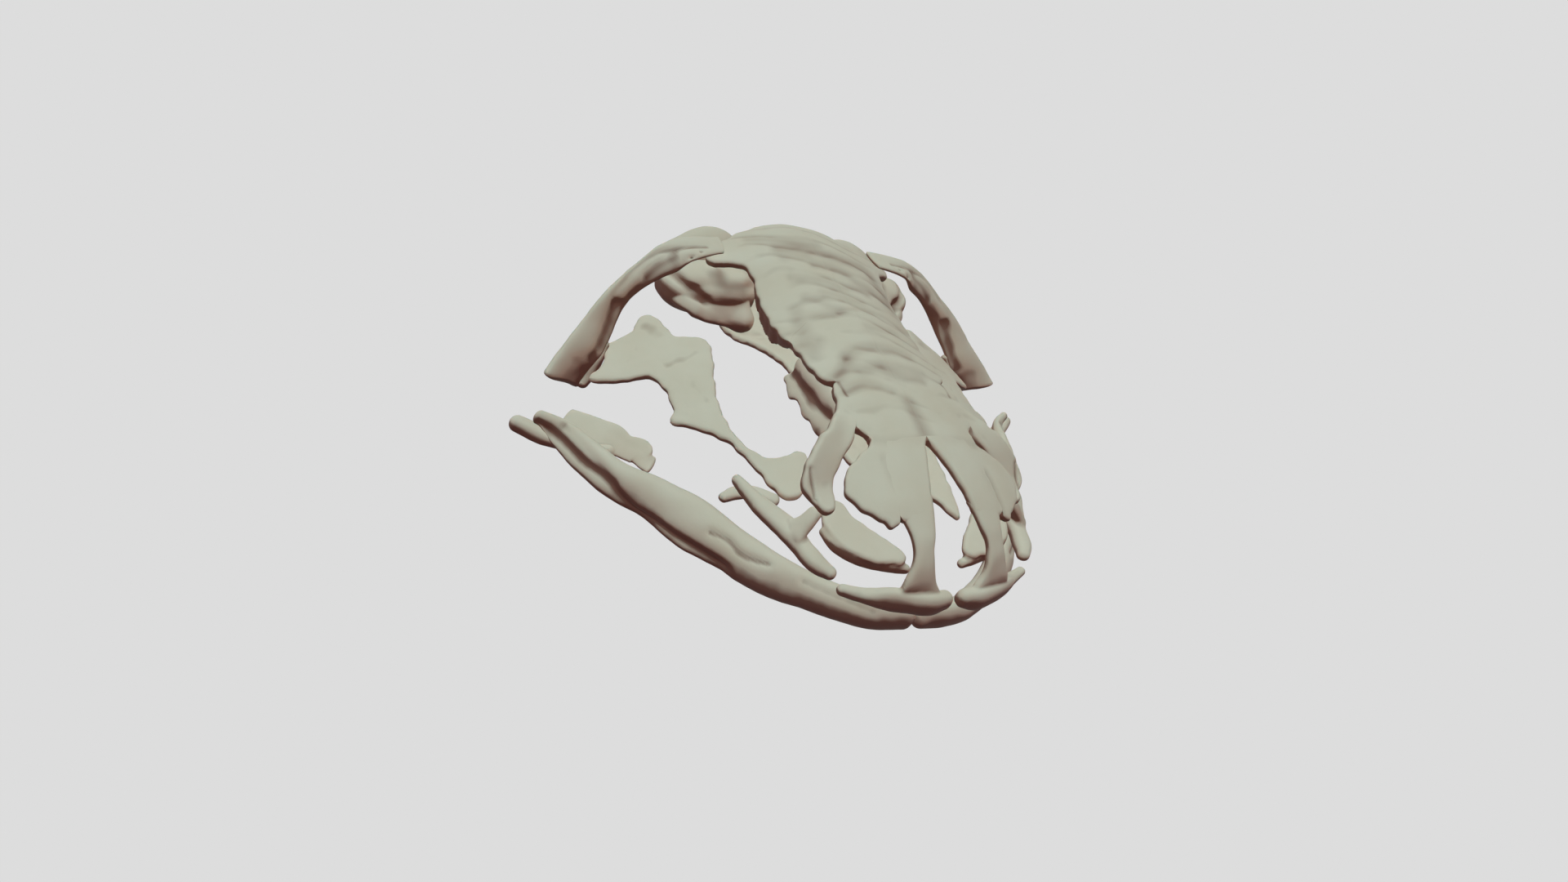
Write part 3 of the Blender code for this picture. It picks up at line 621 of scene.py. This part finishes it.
def squamosal():
    ribs = [((5.1, 21.5, 8.35), (5.3, 20.0, 8.3), 0.3), ((6.6, 21.4, 8.25), (6.2, 19.7, 8.25), 0.4),
            ((7.7, 21.2, 8.15), (7.2, 19.5, 8.0), 0.45), ((8.9, 20.75, 7.8), (8.1, 19.6, 7.5), 0.5),
            ((10.0, 20.2, 7.2), (9.2, 19.6, 6.75), 0.5), ((11.0, 19.6, 6.5), (10.1, 19.5, 5.9), 0.55),
            ((11.9, 18.95, 5.8), (10.7, 19.15, 5.2), 0.55), ((13.0, 18.15, 4.65), (11.35, 18.15, 4.3), 0.55),
            ((13.9, 17.35, 3.85), (11.85, 17.5, 3.45), 0.6), ((14.5, 16.8, 3.3), (12.35, 17.35, 2.6), 0.65),
            ((15.0, 16.25, 2.8), (12.85, 17.1, 1.75), 0.7)]
    trough = [(6.3, 20.3, 8.6), (7.7, 20.3, 8.3), (8.9, 20.3, 7.75), (9.8, 20.0, 7.15), (10.7, 19.55, 6.4),
              (11.4, 19.15, 5.8)]
    inner = [(8.1, 19.6, 7.5), (9.2, 19.6, 6.75), (10.1, 19.5, 5.9), (10.7, 19.15, 5.2), (11.35, 18.15, 4.3),
             (11.85, 17.5, 3.45), (12.85, 17.1, 1.75)]
    skin = bend(blade(ribs, square=False), inner, width=0.6, move=(-0.1, -0.1, -0.35))
    foot = [(11.1, 18.75, 5.4), (11.27, 18.48, 5.03), (11.69, 17.87, 4.29), (12.05, 17.31, 3.62),
            (12.3, 17.1, 3.2)]
    spur = [(9.9, 19.5, 6.6), (10.22, 19.42, 6.43), (10.92, 19.0, 5.77)]
    flank = [(8.02, 20.0, 7.93), (8.87, 19.78, 7.42), (9.6, 19.5, 6.7)]
    return carve(skin, [(trough, 0.24, 0.16), ([(6.7, 19.9, 8.5)], 0.16, 0.25),
                        ([(7.3, 19.6, 8.1)], 0.14, 0.2), (foot, 0.34, 0.15), (spur, 0.26, -0.08),
                        (flank, 0.3, 0.1)])


def quadrate():
    return bar([(11.55, 17.8, 3.45, 0.5, 0.5), (11.85, 17.5, 2.9, 0.65, 0.6), (12.25, 17.2, 2.1, 0.75, 0.7),
                (12.6, 16.95, 1.65, 0.7, 0.6)])


def prootic():
    """Front of the ear capsule with the shelf along it."""
    body = bulb((5.0, 20.7, 5.9), (3.3, 0.6, 1.35), (2.6, 2.15, 1.4), squareness=2.7)
    shelf = blade([((7.8, 20.9, 6.6), (8.14, 20.9, 5.5), 0.5), ((7.2, 20.1, 6.7), (7.75, 19.28, 5.45), 0.55),
                   ((6.6, 19.6, 6.6), (7.12, 18.37, 5.45), 0.6), ((5.7, 19.5, 6.4), (6.01, 18.08, 5.05), 0.6),
                   ((4.5, 19.3, 6.6), (4.18, 18.2, 4.7), 0.6), ((3.7, 19.3, 6.6), (3.4, 18.15, 4.8), 0.5)],
                  square=False)
    groove = [(7.8, 20.3, 6.7), (7.5, 19.4, 6.8), (7.0, 18.9, 6.5), (6.25, 18.8, 6.05)]
    fold = [(6.9, 18.95, 6.6), (5.9, 19.1, 6.74), (4.3, 19.0, 6.8), (3.0, 19.4, 6.7)]
    strokes = [(groove, 0.34, 0.35), (fold, 0.36, 0.14), ([(5.6, 19.9, 7.4)], 0.4, -0.3),
               ([(3.7, 19.3, 7.3)], 0.5, -0.3), ([(6.7, 18.5, 5.45)], 0.3, -0.2),
               ([(3.7, 18.4, 5.1)], 0.6, -0.5)]
    skin = fused([body, shelf], FINE_VOXEL, rounds=10)
    for stroke in strokes:
        skin = carve(skin, [stroke])
    return skin


def exoccipital():
    """Rear of the ear capsule with the condyle and half the arch over the neck's opening."""
    capsule = bulb((5.0, 22.1, 5.9), (3.0, 1.6, 1.4), (3.0, 0.6, 1.5), [((-0.15, 0.6, 1), 0.62, 0.45)])
    condyle = bar([(3.4, 23.0, 5.2, 1.4, 1.4), (2.4, 24.4, 5.1, 1.3, 1.2), (2.0, 25.3, 5.1, 1.4, 1.3)])
    arch = bar([(4.0, 22.8, 6.4, 1.2, 1.0), (2.4, 23.4, 7.0, 1.2, 0.8), (0.6, 23.7, 7.2, 1.0, 0.7)])
    pillar = bar([(2.0, 23.7, 7.0, 0.9, 0.8), (2.3, 24.1, 6.1, 0.8, 0.8), (2.3, 24.3, 5.2, 0.9, 0.9)],
                 lean=(0, 1, 0))
    return fused([capsule, condyle, arch, pillar])


def orbitosphenoid():
    """Folded wall beside the brain, drawn in (y, z)."""
    outline = [(12.9, 5.5), (12.7, 6.3), (12.6, 7.1), (11.0, 7.4), (9.6, 7.5), (8.6, 7.4), (8.25, 6.8),
               (8.3, 6.3), (8.0, 5.9), (8.4, 5.3), (9.2, 5.5), (9.8, 5.3), (10.9, 5.45), (11.6, 5.2),
               (12.2, 5.3)]

    def surface(y, z):
        fold = FOLD_HEIGHT * np.cos(2 * math.pi * (z - 5.55 + 0.12 * (y - 10)) / FOLD_LENGTH)
        fold = fold + 0.05 * np.sin(2.9 * y)
        return np.stack([3.35 + 0.22 * (6.6 - z) - 0.012 * (y - 10) ** 2 + fold, y, z], -1)
    return plate(outline, surface, PALATE_THICK)


# Height of the middle of the palate over the length.
PALATE_Y = (2.0, 10.0, 14.0, 17.0, 19.0, 21.0, 24.0)
PALATE_Z = (5.2, 5.2, 5.0, 4.35, 3.65, 3.5, 3.6)


def parasphenoid():
    half = [(0.9, 3.7), (1.6, 2.4), (2.0, 3.3), (2.4, 4.8), (2.75, 6.4), (2.9, 8.2), (2.8, 10.5),
            (2.6, 13.0), (2.6, 15.0), (2.9, 16.4), (3.4, 17.9), (3.7, 19.0), (3.8, 20.6), (3.4, 22.2),
            (2.0, 23.3)]
    outline = [(0.0, 4.4)] + half + [(0.0, 23.8)] + [(-h, y) for h, y in reversed(half)]

    def surface(h, y):
        return np.stack([h, y, along(y, PALATE_Y, PALATE_Z)], -1)
    return plate(outline, surface, PALATE_THICK)


# Grooves on the outside of the lower jaw: line, width and depth.
JAW_GROOVES = [
    ([(15.55, 14.0, 1.11), (15.1, 13.5, 1.14), (14.6, 12.6, 1.1), (14.2, 11.5, 1.1), (13.75, 10.6, 1.2),
      (13.3, 9.7, 1.15), (12.8, 9.1, 0.8), (12.1, 8.5, 0.5), (11.3, 7.25, 0.58), (10.55, 6.05, 0.64),
      (9.7, 5.0, 0.63), (9.0, 4.25, 0.55)], 0.36, 0.28),
    ([(14.5, 13.5, 1.66), (14.1, 12.3, 1.73), (13.8, 11.3, 1.69), (13.45, 10.4, 1.58), (13.15, 9.7, 1.42)],
     0.3, 0.09),
    ([(9.55, 5.5, 1.75), (8.9, 4.8, 1.82), (8.5, 4.05, 1.64), (8.0, 3.5, 1.74), (7.45, 3.1, 1.85)],
     0.2, 0.12),
    ([(6.0, 1.85, 1.82), (5.1, 1.2, 1.75), (4.0, 0.5, 1.74), (2.85, -0.1, 1.7)], 0.25, 0.08),
]


def vomer():
    """Plate at the front of the palate with the ridge that bore its teeth."""
    outline = [(5.0, 4.5), (5.5, 3.7), (5.4, 2.6), (4.8, 1.7), (3.9, 1.1), (2.8, 0.9), (2.0, 0.95),
               (1.85, 1.4), (2.4, 2.25), (3.2, 3.0), (3.7, 3.6), (3.95, 4.4), (4.4, 4.7)]

    def surface(h, y):
        return np.stack([h, y, 3.85 + 0.13 * y + 0.02 * h], -1)
    ridge = bar([(5.45, 3.2, 4.1, 0.4, 0.5), (5.2, 2.4, 4.0, 0.5, 0.65), (4.55, 1.75, 3.9, 0.5, 0.65),
                 (3.6, 1.3, 3.8, 0.5, 0.65), (2.4, 1.05, 3.7, 0.5, 0.6), (1.75, 0.95, 3.6, 0.45, 0.5)])
    return fused([plate(outline, surface, PALATE_THICK), ridge])


def palatopterygoid():
    outline = [(12.6, 15.9), (11.8, 15.3), (10.9, 14.9), (10.2, 14.7), (9.8, 13.6), (9.8, 12.2), (10.1, 11.3),
               (9.2, 10.5), (8.2, 9.4), (7.7, 8.2), (7.3, 6.7), (6.9, 5.4), (6.4, 5.0), (5.5, 5.5),
               (4.8, 6.3), (4.5, 7.5), (5.0, 7.9), (6.1, 7.6), (7.0, 8.0), (7.6, 9.4), (7.7, 11.4),
               (7.3, 13.4), (6.7, 15.2), (6.6, 16.4), (7.4, 16.9), (8.1, 17.3), (8.3, 18.3), (8.7, 19.3),
               (9.4, 19.1), (10.0, 18.3), (10.7, 18.1), (11.4, 17.95), (11.65, 17.0), (12.1, 16.5),
               (12.5, 16.3)]

    def surface(h, y):
        z = 4.6 + 0.5 * np.clip((y - 6) / 8, 0, 1) - 0.04 * (h - 4.5) ** 2
        return np.stack([h, y, z], -1)
    folds = [([(8.9, 14.3, 4.9), (8.5, 13.0, 4.9), (8.2, 11.7, 4.9)], 0.25, 0.07),
             ([(9.3, 15.0, 4.6), (8.5, 15.2, 4.8), (7.7, 15.5, 5.1)], 0.3, 0.05)]
    return carve(plate(outline, surface, PALATE_THICK), folds)


def maxilla():
    """Tooth bar with the riser that points to the prefrontal."""
    tooth_bar = bar([(8.45, 6.9, 4.0, 0.45, 0.5), (8.15, 5.9, 3.95, 0.7, 0.7), (7.65, 4.8, 3.9, 1.1, 0.8),
                     (7.0, 3.7, 3.8, 1.3, 0.8), (6.7, 2.75, 3.65, 1.0, 0.8), (6.4, 1.8, 3.6, 1.0, 0.8),
                     (5.95, 1.1, 3.6, 0.7, 0.6)])
    riser = bar([(6.95, 3.4, 4.0, 1.5, 0.6), (6.65, 3.42, 4.35, 1.05, 0.6), (6.35, 3.5, 4.7, 0.85, 0.6),
                 (6.1, 3.6, 4.95, 0.75, 0.55)], lean=(1, 0, 1))
    return fused([tooth_bar, riser], rounds=12)


def dentary(side):
    """Outer wall of half the lower jaw, from its rear end to the chin."""
    ribs = [((15.6, 14.3, 0.95), (15.4, 14.5, 1.75), 0.55), ((14.85, 13.2, 0.55), (14.35, 13.9, 1.7), 0.75),
            ((14.05, 11.75, 0.25), (13.5, 12.2, 1.9), 1.1), ((13.05, 10.05, 0.15), (12.45, 10.25, 2.0), 1.35),
            ((11.6, 8.3, 0.1), (10.85, 8.9, 2.08), 1.5), ((10.3, 6.1, 0.08), (9.35, 7.35, 2.1), 1.6),
            ((9.2, 4.9, 0.08), (8.3, 5.65, 2.05), 1.6), ((7.35, 2.8, 0.1), (6.95, 3.7, 2.0), 1.55),
            ((5.35, 1.6, 0.15), (5.2, 1.95, 1.95), 1.4), ((3.25, 0.5, 0.2), (3.1, 0.6, 1.95), 1.25),
            ((1.9, 0.15, 0.25), (1.95, 0.1, 1.9), 1.1), ((0.55, 0.1, 0.3), (0.55, -0.05, 1.9), 1.05)]

    def skew(point):
        h, y, z = point
        shift = CHIN_SHIFT * math.exp(-(h / CHIN_REACH) ** 2)
        turn = JAW_TURN * math.sin(math.pi * min(h / JAW_WIDTH, 1))
        return h - side * shift, y - side * turn, z
    skin = blade([(skew(a), skew(b), t) for a, b, t in ribs], squareness=2.1)
    return carve(skin, [([skew(p) for p in line], width, depth) for line, width, depth in JAW_GROOVES])


def prearticular():
    """Inner bone of the lower jaw: a bar below and a thin blade beside the dentary."""
    lower = bar([(16.35, 14.85, 0.6, 0.8, 0.9), (15.3, 14.1, 0.5, 0.95, 0.85), (14.3, 13.5, 0.5, 0.8, 0.7),
                 (13.3, 12.8, 0.6, 0.6, 0.8), (12.4, 12.2, 0.9, 0.6, 0.9)])
    inner = blade([((14.3, 14.3, 0.8), (13.5, 15.1, 1.3), 0.3), ((13.1, 12.9, 0.9), (12.3, 14.0, 1.6), 0.3),
                   ((12.5, 12.3, 0.95), (11.75, 13.25, 1.85), 0.3),
                   ((12.0, 11.8, 1.0), (11.35, 12.55, 1.8), 0.3),
                   ((11.5, 11.2, 1.1), (10.75, 12.05, 1.95), 0.3),
                   ((11.2, 10.75, 1.15), (10.8, 11.35, 1.75), 0.3),
                   ((11.0, 10.45, 1.2), (10.5, 11.1, 1.65), 0.3)], squareness=3.0)
    return fused([lower, inner], FINE_VOXEL)


def coronoid():
    return bar([(9.0, 6.6, 3.15, 0.5, 0.45), (8.2, 6.9, 3.1, 0.7, 0.5), (7.2, 6.9, 3.1, 0.7, 0.5),
                (6.3, 6.3, 3.1, 0.7, 0.5)])


PAIRED = {
    "premaxilla": premaxilla, "nasal": nasal, "prefrontal": prefrontal, "frontal": frontal,
    "parietal": parietal, "squamosal": squamosal, "quadrate": quadrate, "prootic": prootic,
    "exoccipital": exoccipital, "orbitosphenoid": orbitosphenoid, "vomer": vomer,
    "palatopterygoid": palatopterygoid, "maxilla": maxilla, "dentary": dentary,
    "prearticular": prearticular, "coronoid": coronoid,
}
ROOF_BONES = ("nasal", "prefrontal", "frontal", "parietal")
SIDED = ROOF_BONES + ("premaxilla", "dentary")   # bones whose left and right differ


def weathered(label, verts, faces, side):
    """The bone's skin with its fine unevenness, in (h, y, z).

    Roof plates have theirs already, and so has the premaxilla's sheet.
    """
    if label in ROOF_BONES:
        return verts, faces
    shape = verts * np.array([side, 1, 1])
    relief = unevenness(shape, BONE_SWELLS)
    if label == "premaxilla":
        relief = relief * np.clip(STEM_END - verts[:, 1], 0, 1)
    return verts + skin_normals(verts, faces) * relief[:, None], faces


def bone_material():
    """Dry bone: pale with faint blotches, and painted brown shade where the shade attribute is high."""
    mat = bpy.data.materials.new("bone")
    mat.use_nodes = True
    nodes = mat.node_tree.nodes
    links = mat.node_tree.links
    shader = nodes["Principled BSDF"]
    shader.inputs["Roughness"].default_value = 0.7
    shader.inputs["Specular IOR Level"].default_value = 0.2

    place = nodes.new("ShaderNodeTexCoord")
    blotch = nodes.new("ShaderNodeTexNoise")
    blotch.inputs["Scale"].default_value = BLOTCH_SCALE
    blotch.inputs["Detail"].default_value = 5
    links.new(place.outputs["Object"], blotch.inputs["Vector"])
    tone = nodes.new("ShaderNodeValToRGB")
    for stop, (position, colour) in zip(tone.color_ramp.elements, BONE_TONES):
        stop.position = position
        stop.color = colour
    links.new(blotch.outputs["Fac"], tone.inputs[0])
    # Painted shade: brown mixed into the colour where the shade attribute is high.
    painted_shade = nodes.new("ShaderNodeAttribute")
    painted_shade.attribute_name = "painted_shade"
    shade_share = nodes.new("ShaderNodeMapRange")
    shade_share.inputs["From Min"].default_value = PAINTED_SHADE_RANGE[0]
    shade_share.inputs["From Max"].default_value = PAINTED_SHADE_RANGE[1]
    links.new(painted_shade.outputs["Fac"], shade_share.inputs["Value"])
    shade_mix = nodes.new("ShaderNodeMix")
    shade_mix.data_type = "RGBA"
    shade_mix.inputs[7].default_value = PAINTED_SHADE_BROWN
    links.new(shade_share.outputs[0], shade_mix.inputs[0])
    links.new(tone.outputs[0], shade_mix.inputs[6])
    links.new(shade_mix.outputs[2], shader.inputs["Base Color"])
    grain = nodes.new("ShaderNodeTexNoise")
    grain.inputs["Scale"].default_value = GRAIN_SCALE
    grain.inputs["Detail"].default_value = 4
    links.new(place.outputs["Object"], grain.inputs["Vector"])
    bump = nodes.new("ShaderNodeBump")
    bump.inputs["Strength"].default_value = 0.25
    bump.inputs["Distance"].default_value = GRAIN_HEIGHT
    links.new(grain.outputs["Fac"], bump.inputs["Height"])
    links.new(bump.outputs[0], shader.inputs["Normal"])
    return mat


# Painted shade along dark rims, grooves, folds and inner edges besides the hollows, and a dark suture line
# between prefrontal and frontal, in (h, y, z): line, width and strength.
PAINTED_SHADE_AND_SUTURE_LINES = {
    "dentary": [([(13.0, 9.5, 0.9), (11.3, 7.3, 0.8), (9.4, 4.8, 0.8), (7.5, 2.8, 0.8), (5.4, 1.3, 0.8),
                  (3.2, 0.2, 0.9), (0.8, -0.4, 1.0)], 0.85, 0.038),
                ([(15.6, 14.2, 1.3), (14.7, 12.8, 1.3), (13.9, 11.3, 1.2)], 0.5, 0.04)],
    "vomer": [([(5.4, 2.3, 3.9), (4.6, 1.45, 3.7), (3.4, 1.0, 3.55), (2.1, 0.8, 3.5)], 0.35, 0.09)],
    "premaxilla": [([(0.7, -1.5, 3.1), (2.3, -1.35, 3.0), (3.4, -0.95, 2.95), (4.5, -0.35, 2.95),
                     (5.5, 0.15, 3.0)], 0.45, 0.05)],
    "maxilla": [([(8.5, 6.8, 3.8), (7.9, 4.7, 3.6), (6.9, 2.6, 3.35), (6.1, 0.9, 3.4)], 0.35, 0.05)],
    "squamosal": [([(8.0, 19.4, 7.1), (9.1, 19.4, 6.3), (10.0, 19.3, 5.4), (10.7, 18.9, 4.7),
                    (11.3, 18.0, 3.9), (11.8, 17.4, 3.0), (12.8, 17.0, 1.6)], 0.5, 0.08),
                  ([(8.0, 20.0, 7.9), (8.9, 19.8, 7.4), (9.6, 19.5, 6.7)], 0.35, 0.03),
                  ([(11.1, 18.8, 5.4), (11.7, 17.9, 4.3), (12.3, 17.1, 3.2)], 0.4, 0.015)],
    "palatopterygoid": [([(9.2, 18.2, 4.5), (9.1, 17.8, 4.5)], 0.6, 0.022),
                        ([(11.8, 15.3, 3.0), (10.9, 14.9, 3.5), (10.2, 14.7, 3.9)], 0.35, 0.03)],
    "quadrate": [([(11.3, 17.9, 3.6), (12.4, 16.9, 1.5)], 0.8, 0.05)],
    "prootic": [([(5.4, 19.6, 7.2), (5.0, 19.0, 6.7), (4.0, 18.9, 6.6)], 0.55, 0.04),
                ([(7.8, 20.3, 6.7), (7.0, 19.1, 6.5), (6.2, 18.9, 6.0)], 0.4, 0.04)],
    "prefrontal": [([(3.25, 9.3, 8.05), (3.22, 8.3, 8.0)], 0.09, 0.05)],
    "frontal": [([(3.25, 9.3, 8.05), (3.22, 8.3, 8.0)], 0.09, 0.05)],
    "orbitosphenoid": [([(3.6, 11.8, 6.6), (3.7, 10.0, 6.0), (3.8, 8.5, 5.8)], 0.3, 0.05),
                       ([(3.5, 9.6, 7.3), (3.6, 8.4, 7.0)], 0.3, 0.05)],
}


def painted_shade_and_suture_lines(label, verts, side):
    """Strength of the painted shade and the dark suture lines at each point of a bone."""
    total = np.zeros(len(verts))
    for points, width, strength in PAINTED_SHADE_AND_SUTURE_LINES.get(label, ()):
        near = line_distance(verts, through(points, STEP, False))
        total += strength * np.exp(-(near / width) ** 2)
    if label in ROOF_BONES:
        # Painted shade in the troughs of the ripples and along the wrinkles of the roof.
        spot = verts[:, :2] * np.array([side, 1])
        total += RIPPLE_SHADE * np.clip(-ripples(spot[:, 0], spot[:, 1]), 0, 1)
        for points, width, depth in WRINKLES:
            near = line_distance(spot, through(points, STEP, False))
            total += WRINKLE_SHADE * depth * np.exp(-(near / (width * WRINKLE_SPREAD)) ** 2)
    return total


def hollows(verts, faces, normals):
    """How deep each point lies below its surroundings, in millimetres."""
    pairs = edge_pairs(faces)
    ends = np.concatenate([pairs[:, 0], pairs[:, 1]])
    others = np.concatenate([pairs[:, 1], pairs[:, 0]])
    count = np.bincount(ends, minlength=len(verts))
    smooth = verts.copy()
    for _ in range(HOLLOW_ROUNDS):
        total = [np.bincount(ends, smooth[others, axis], len(verts)) for axis in range(3)]
        smooth = 0.5 * smooth + 0.5 * np.stack(total, 1) / count[:, None]
    return ((smooth - verts) * normals).sum(1)


def painted_shade_amount(label, verts, faces, side):
    """Value of the shade attribute: painted shade in hollows, along rims and folds and on what faces sideways
    or down, and dark suture lines.
    """
    normals = skin_normals(verts, faces)
    # Painted shade in the hollows: the deeper a point lies below its surroundings, the browner.
    shade_amount = hollows(verts, faces, normals)
    if label in ROOF_BONES:
        # Without this the raised edges beside the sutures would show as pale lines.
        shade_amount = np.maximum(shade_amount, 0)
    # Painted shade along rims and folds, and dark suture lines.
    shade_amount += painted_shade_and_suture_lines(label, verts, side)
    level = np.clip((FLAT_LEVEL - flattest(verts, faces)) / FLAT_FADE, 0, 1)
    # Painted shade: faces turned sideways or down are painted browner, as if they lay in shade.
    return shade_amount + PAINTED_UNDERSIDE_SHADE * np.clip(SIDE_LEVEL - normals[:, 2], 0, 1) * level


def finish_bone(name, verts, faces, side, material):
    """Turn one bone to metres on its side and let it stand for its CAD node."""
    placed = np.empty_like(verts)
    placed[:, 0] = side * verts[:, 0] * MM
    placed[:, 1] = (verts[:, 1] - Y_CENTRE) * MM
    placed[:, 2] = np.maximum(verts[:, 2], 0.0) * MM
    shade_amount = painted_shade_amount(name.rsplit("_", 1)[0], verts, faces, side)
    if side < 0:
        faces = [tuple(reversed(f)) for f in faces]
    piece = make_object(name + "_bone", placed, faces)
    # Attribute that paints shade into the bone's colour.
    painted_shade = piece.data.attributes.new("painted_shade", "FLOAT", "POINT")
    painted_shade.data.foreach_set("value", shade_amount.astype(np.float32))
    piece.data.polygons.foreach_set("use_smooth", [True] * len(piece.data.polygons))
    piece.data.set_sharp_from_angle(angle=math.radians(SEAM_ANGLE))
    piece.data.materials.append(material)
    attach(piece, "root")
    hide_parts(name)


def add_camera():
    """The photograph's camera, from the skull's front right and above."""
    x, y, z = CAMERA_PLACE
    position = Vector((x, y - Y_CENTRE, z)) * MM
    forward = Vector(CAMERA_FORWARD)
    right = forward.cross(Vector(CAMERA_UP)).normalized()
    up = right.cross(forward).normalized()
    camera = bpy.data.objects.new("camera", bpy.data.cameras.new("camera"))
    camera.data.lens = LENS
    camera.data.sensor_width = 36
    camera.data.clip_start = 0.001
    camera.matrix_world = Matrix.Translation(position) @ Matrix((right, up, -forward)).transposed().to_4x4()
    bpy.context.scene.collection.objects.link(camera)
    bpy.context.scene.camera = camera


def add_floor():
    """Plain pale floor with a glow of its own, which the bones' dull surface doesn't pick up."""
    size = FLOOR_HALF
    corners = [(-size, -size, 0), (size, -size, 0), (size, size, 0), (-size, size, 0)]
    floor = make_object("floor", corners, [(0, 1, 2, 3)])
    mat = bpy.data.materials.new("floor")
    mat.use_nodes = True
    shader = mat.node_tree.nodes["Principled BSDF"]
    shader.inputs["Base Color"].default_value = (0.0, 0.0, 0.0, 1)
    shader.inputs["Roughness"].default_value = 1.0
    shader.inputs["Specular IOR Level"].default_value = 0.0
    shader.inputs["Emission Color"].default_value = (1, 1, 1, 1)
    shader.inputs["Emission Strength"].default_value = BACKDROP
    floor.data.materials.append(mat)
    floor.visible_diffuse = False


def add_light():
    """Two soft lamps overhead that cast no shadows, and a backdrop that only the camera sees."""
    world = bpy.data.worlds.new("studio")
    world.use_nodes = True
    nodes = world.node_tree.nodes
    links = world.node_tree.links
    around = nodes["Background"]
    around.inputs["Color"].default_value = (0, 0, 0, 1)
    plain = nodes.new("ShaderNodeBackground")
    plain.inputs["Color"].default_value = (BACKDROP, BACKDROP, BACKDROP, 1)
    seen = nodes.new("ShaderNodeLightPath")
    chosen = nodes.new("ShaderNodeMixShader")
    links.new(seen.outputs["Is Camera Ray"], chosen.inputs[0])
    links.new(around.outputs[0], chosen.inputs[1])
    links.new(plain.outputs[0], chosen.inputs[2])
    links.new(chosen.outputs[0], nodes["World Output"].inputs["Surface"])
    bpy.context.scene.world = world
    for name, towards, spread, energy, colour in LAMPS:
        lamp = bpy.data.objects.new(name, bpy.data.lights.new(name, "SUN"))
        lamp.data.energy = energy
        lamp.data.color = colour
        lamp.data.angle = math.radians(spread)
        lamp.data.use_shadow = False
        lamp.data.cycles.use_multiple_importance_sampling = False
        lamp.rotation_euler = Vector(towards).to_track_quat("Z", "Y").to_euler()
        bpy.context.scene.collection.objects.link(lamp)


bone = bone_material()
for label, shape in PAIRED.items():
    for side, suffix in ((1, "left"), (-1, "right")):
        skin = shape(side) if label in SIDED else shape()
        skin = weathered(label, *skin, side)
        finish_bone(label + "_" + suffix, *skin, side, bone)
finish_bone("parasphenoid", *weathered("parasphenoid", *parasphenoid(), 1), 1, bone)
add_floor()
add_light()
add_camera()
bpy.context.scene.view_settings.view_transform = "Standard"
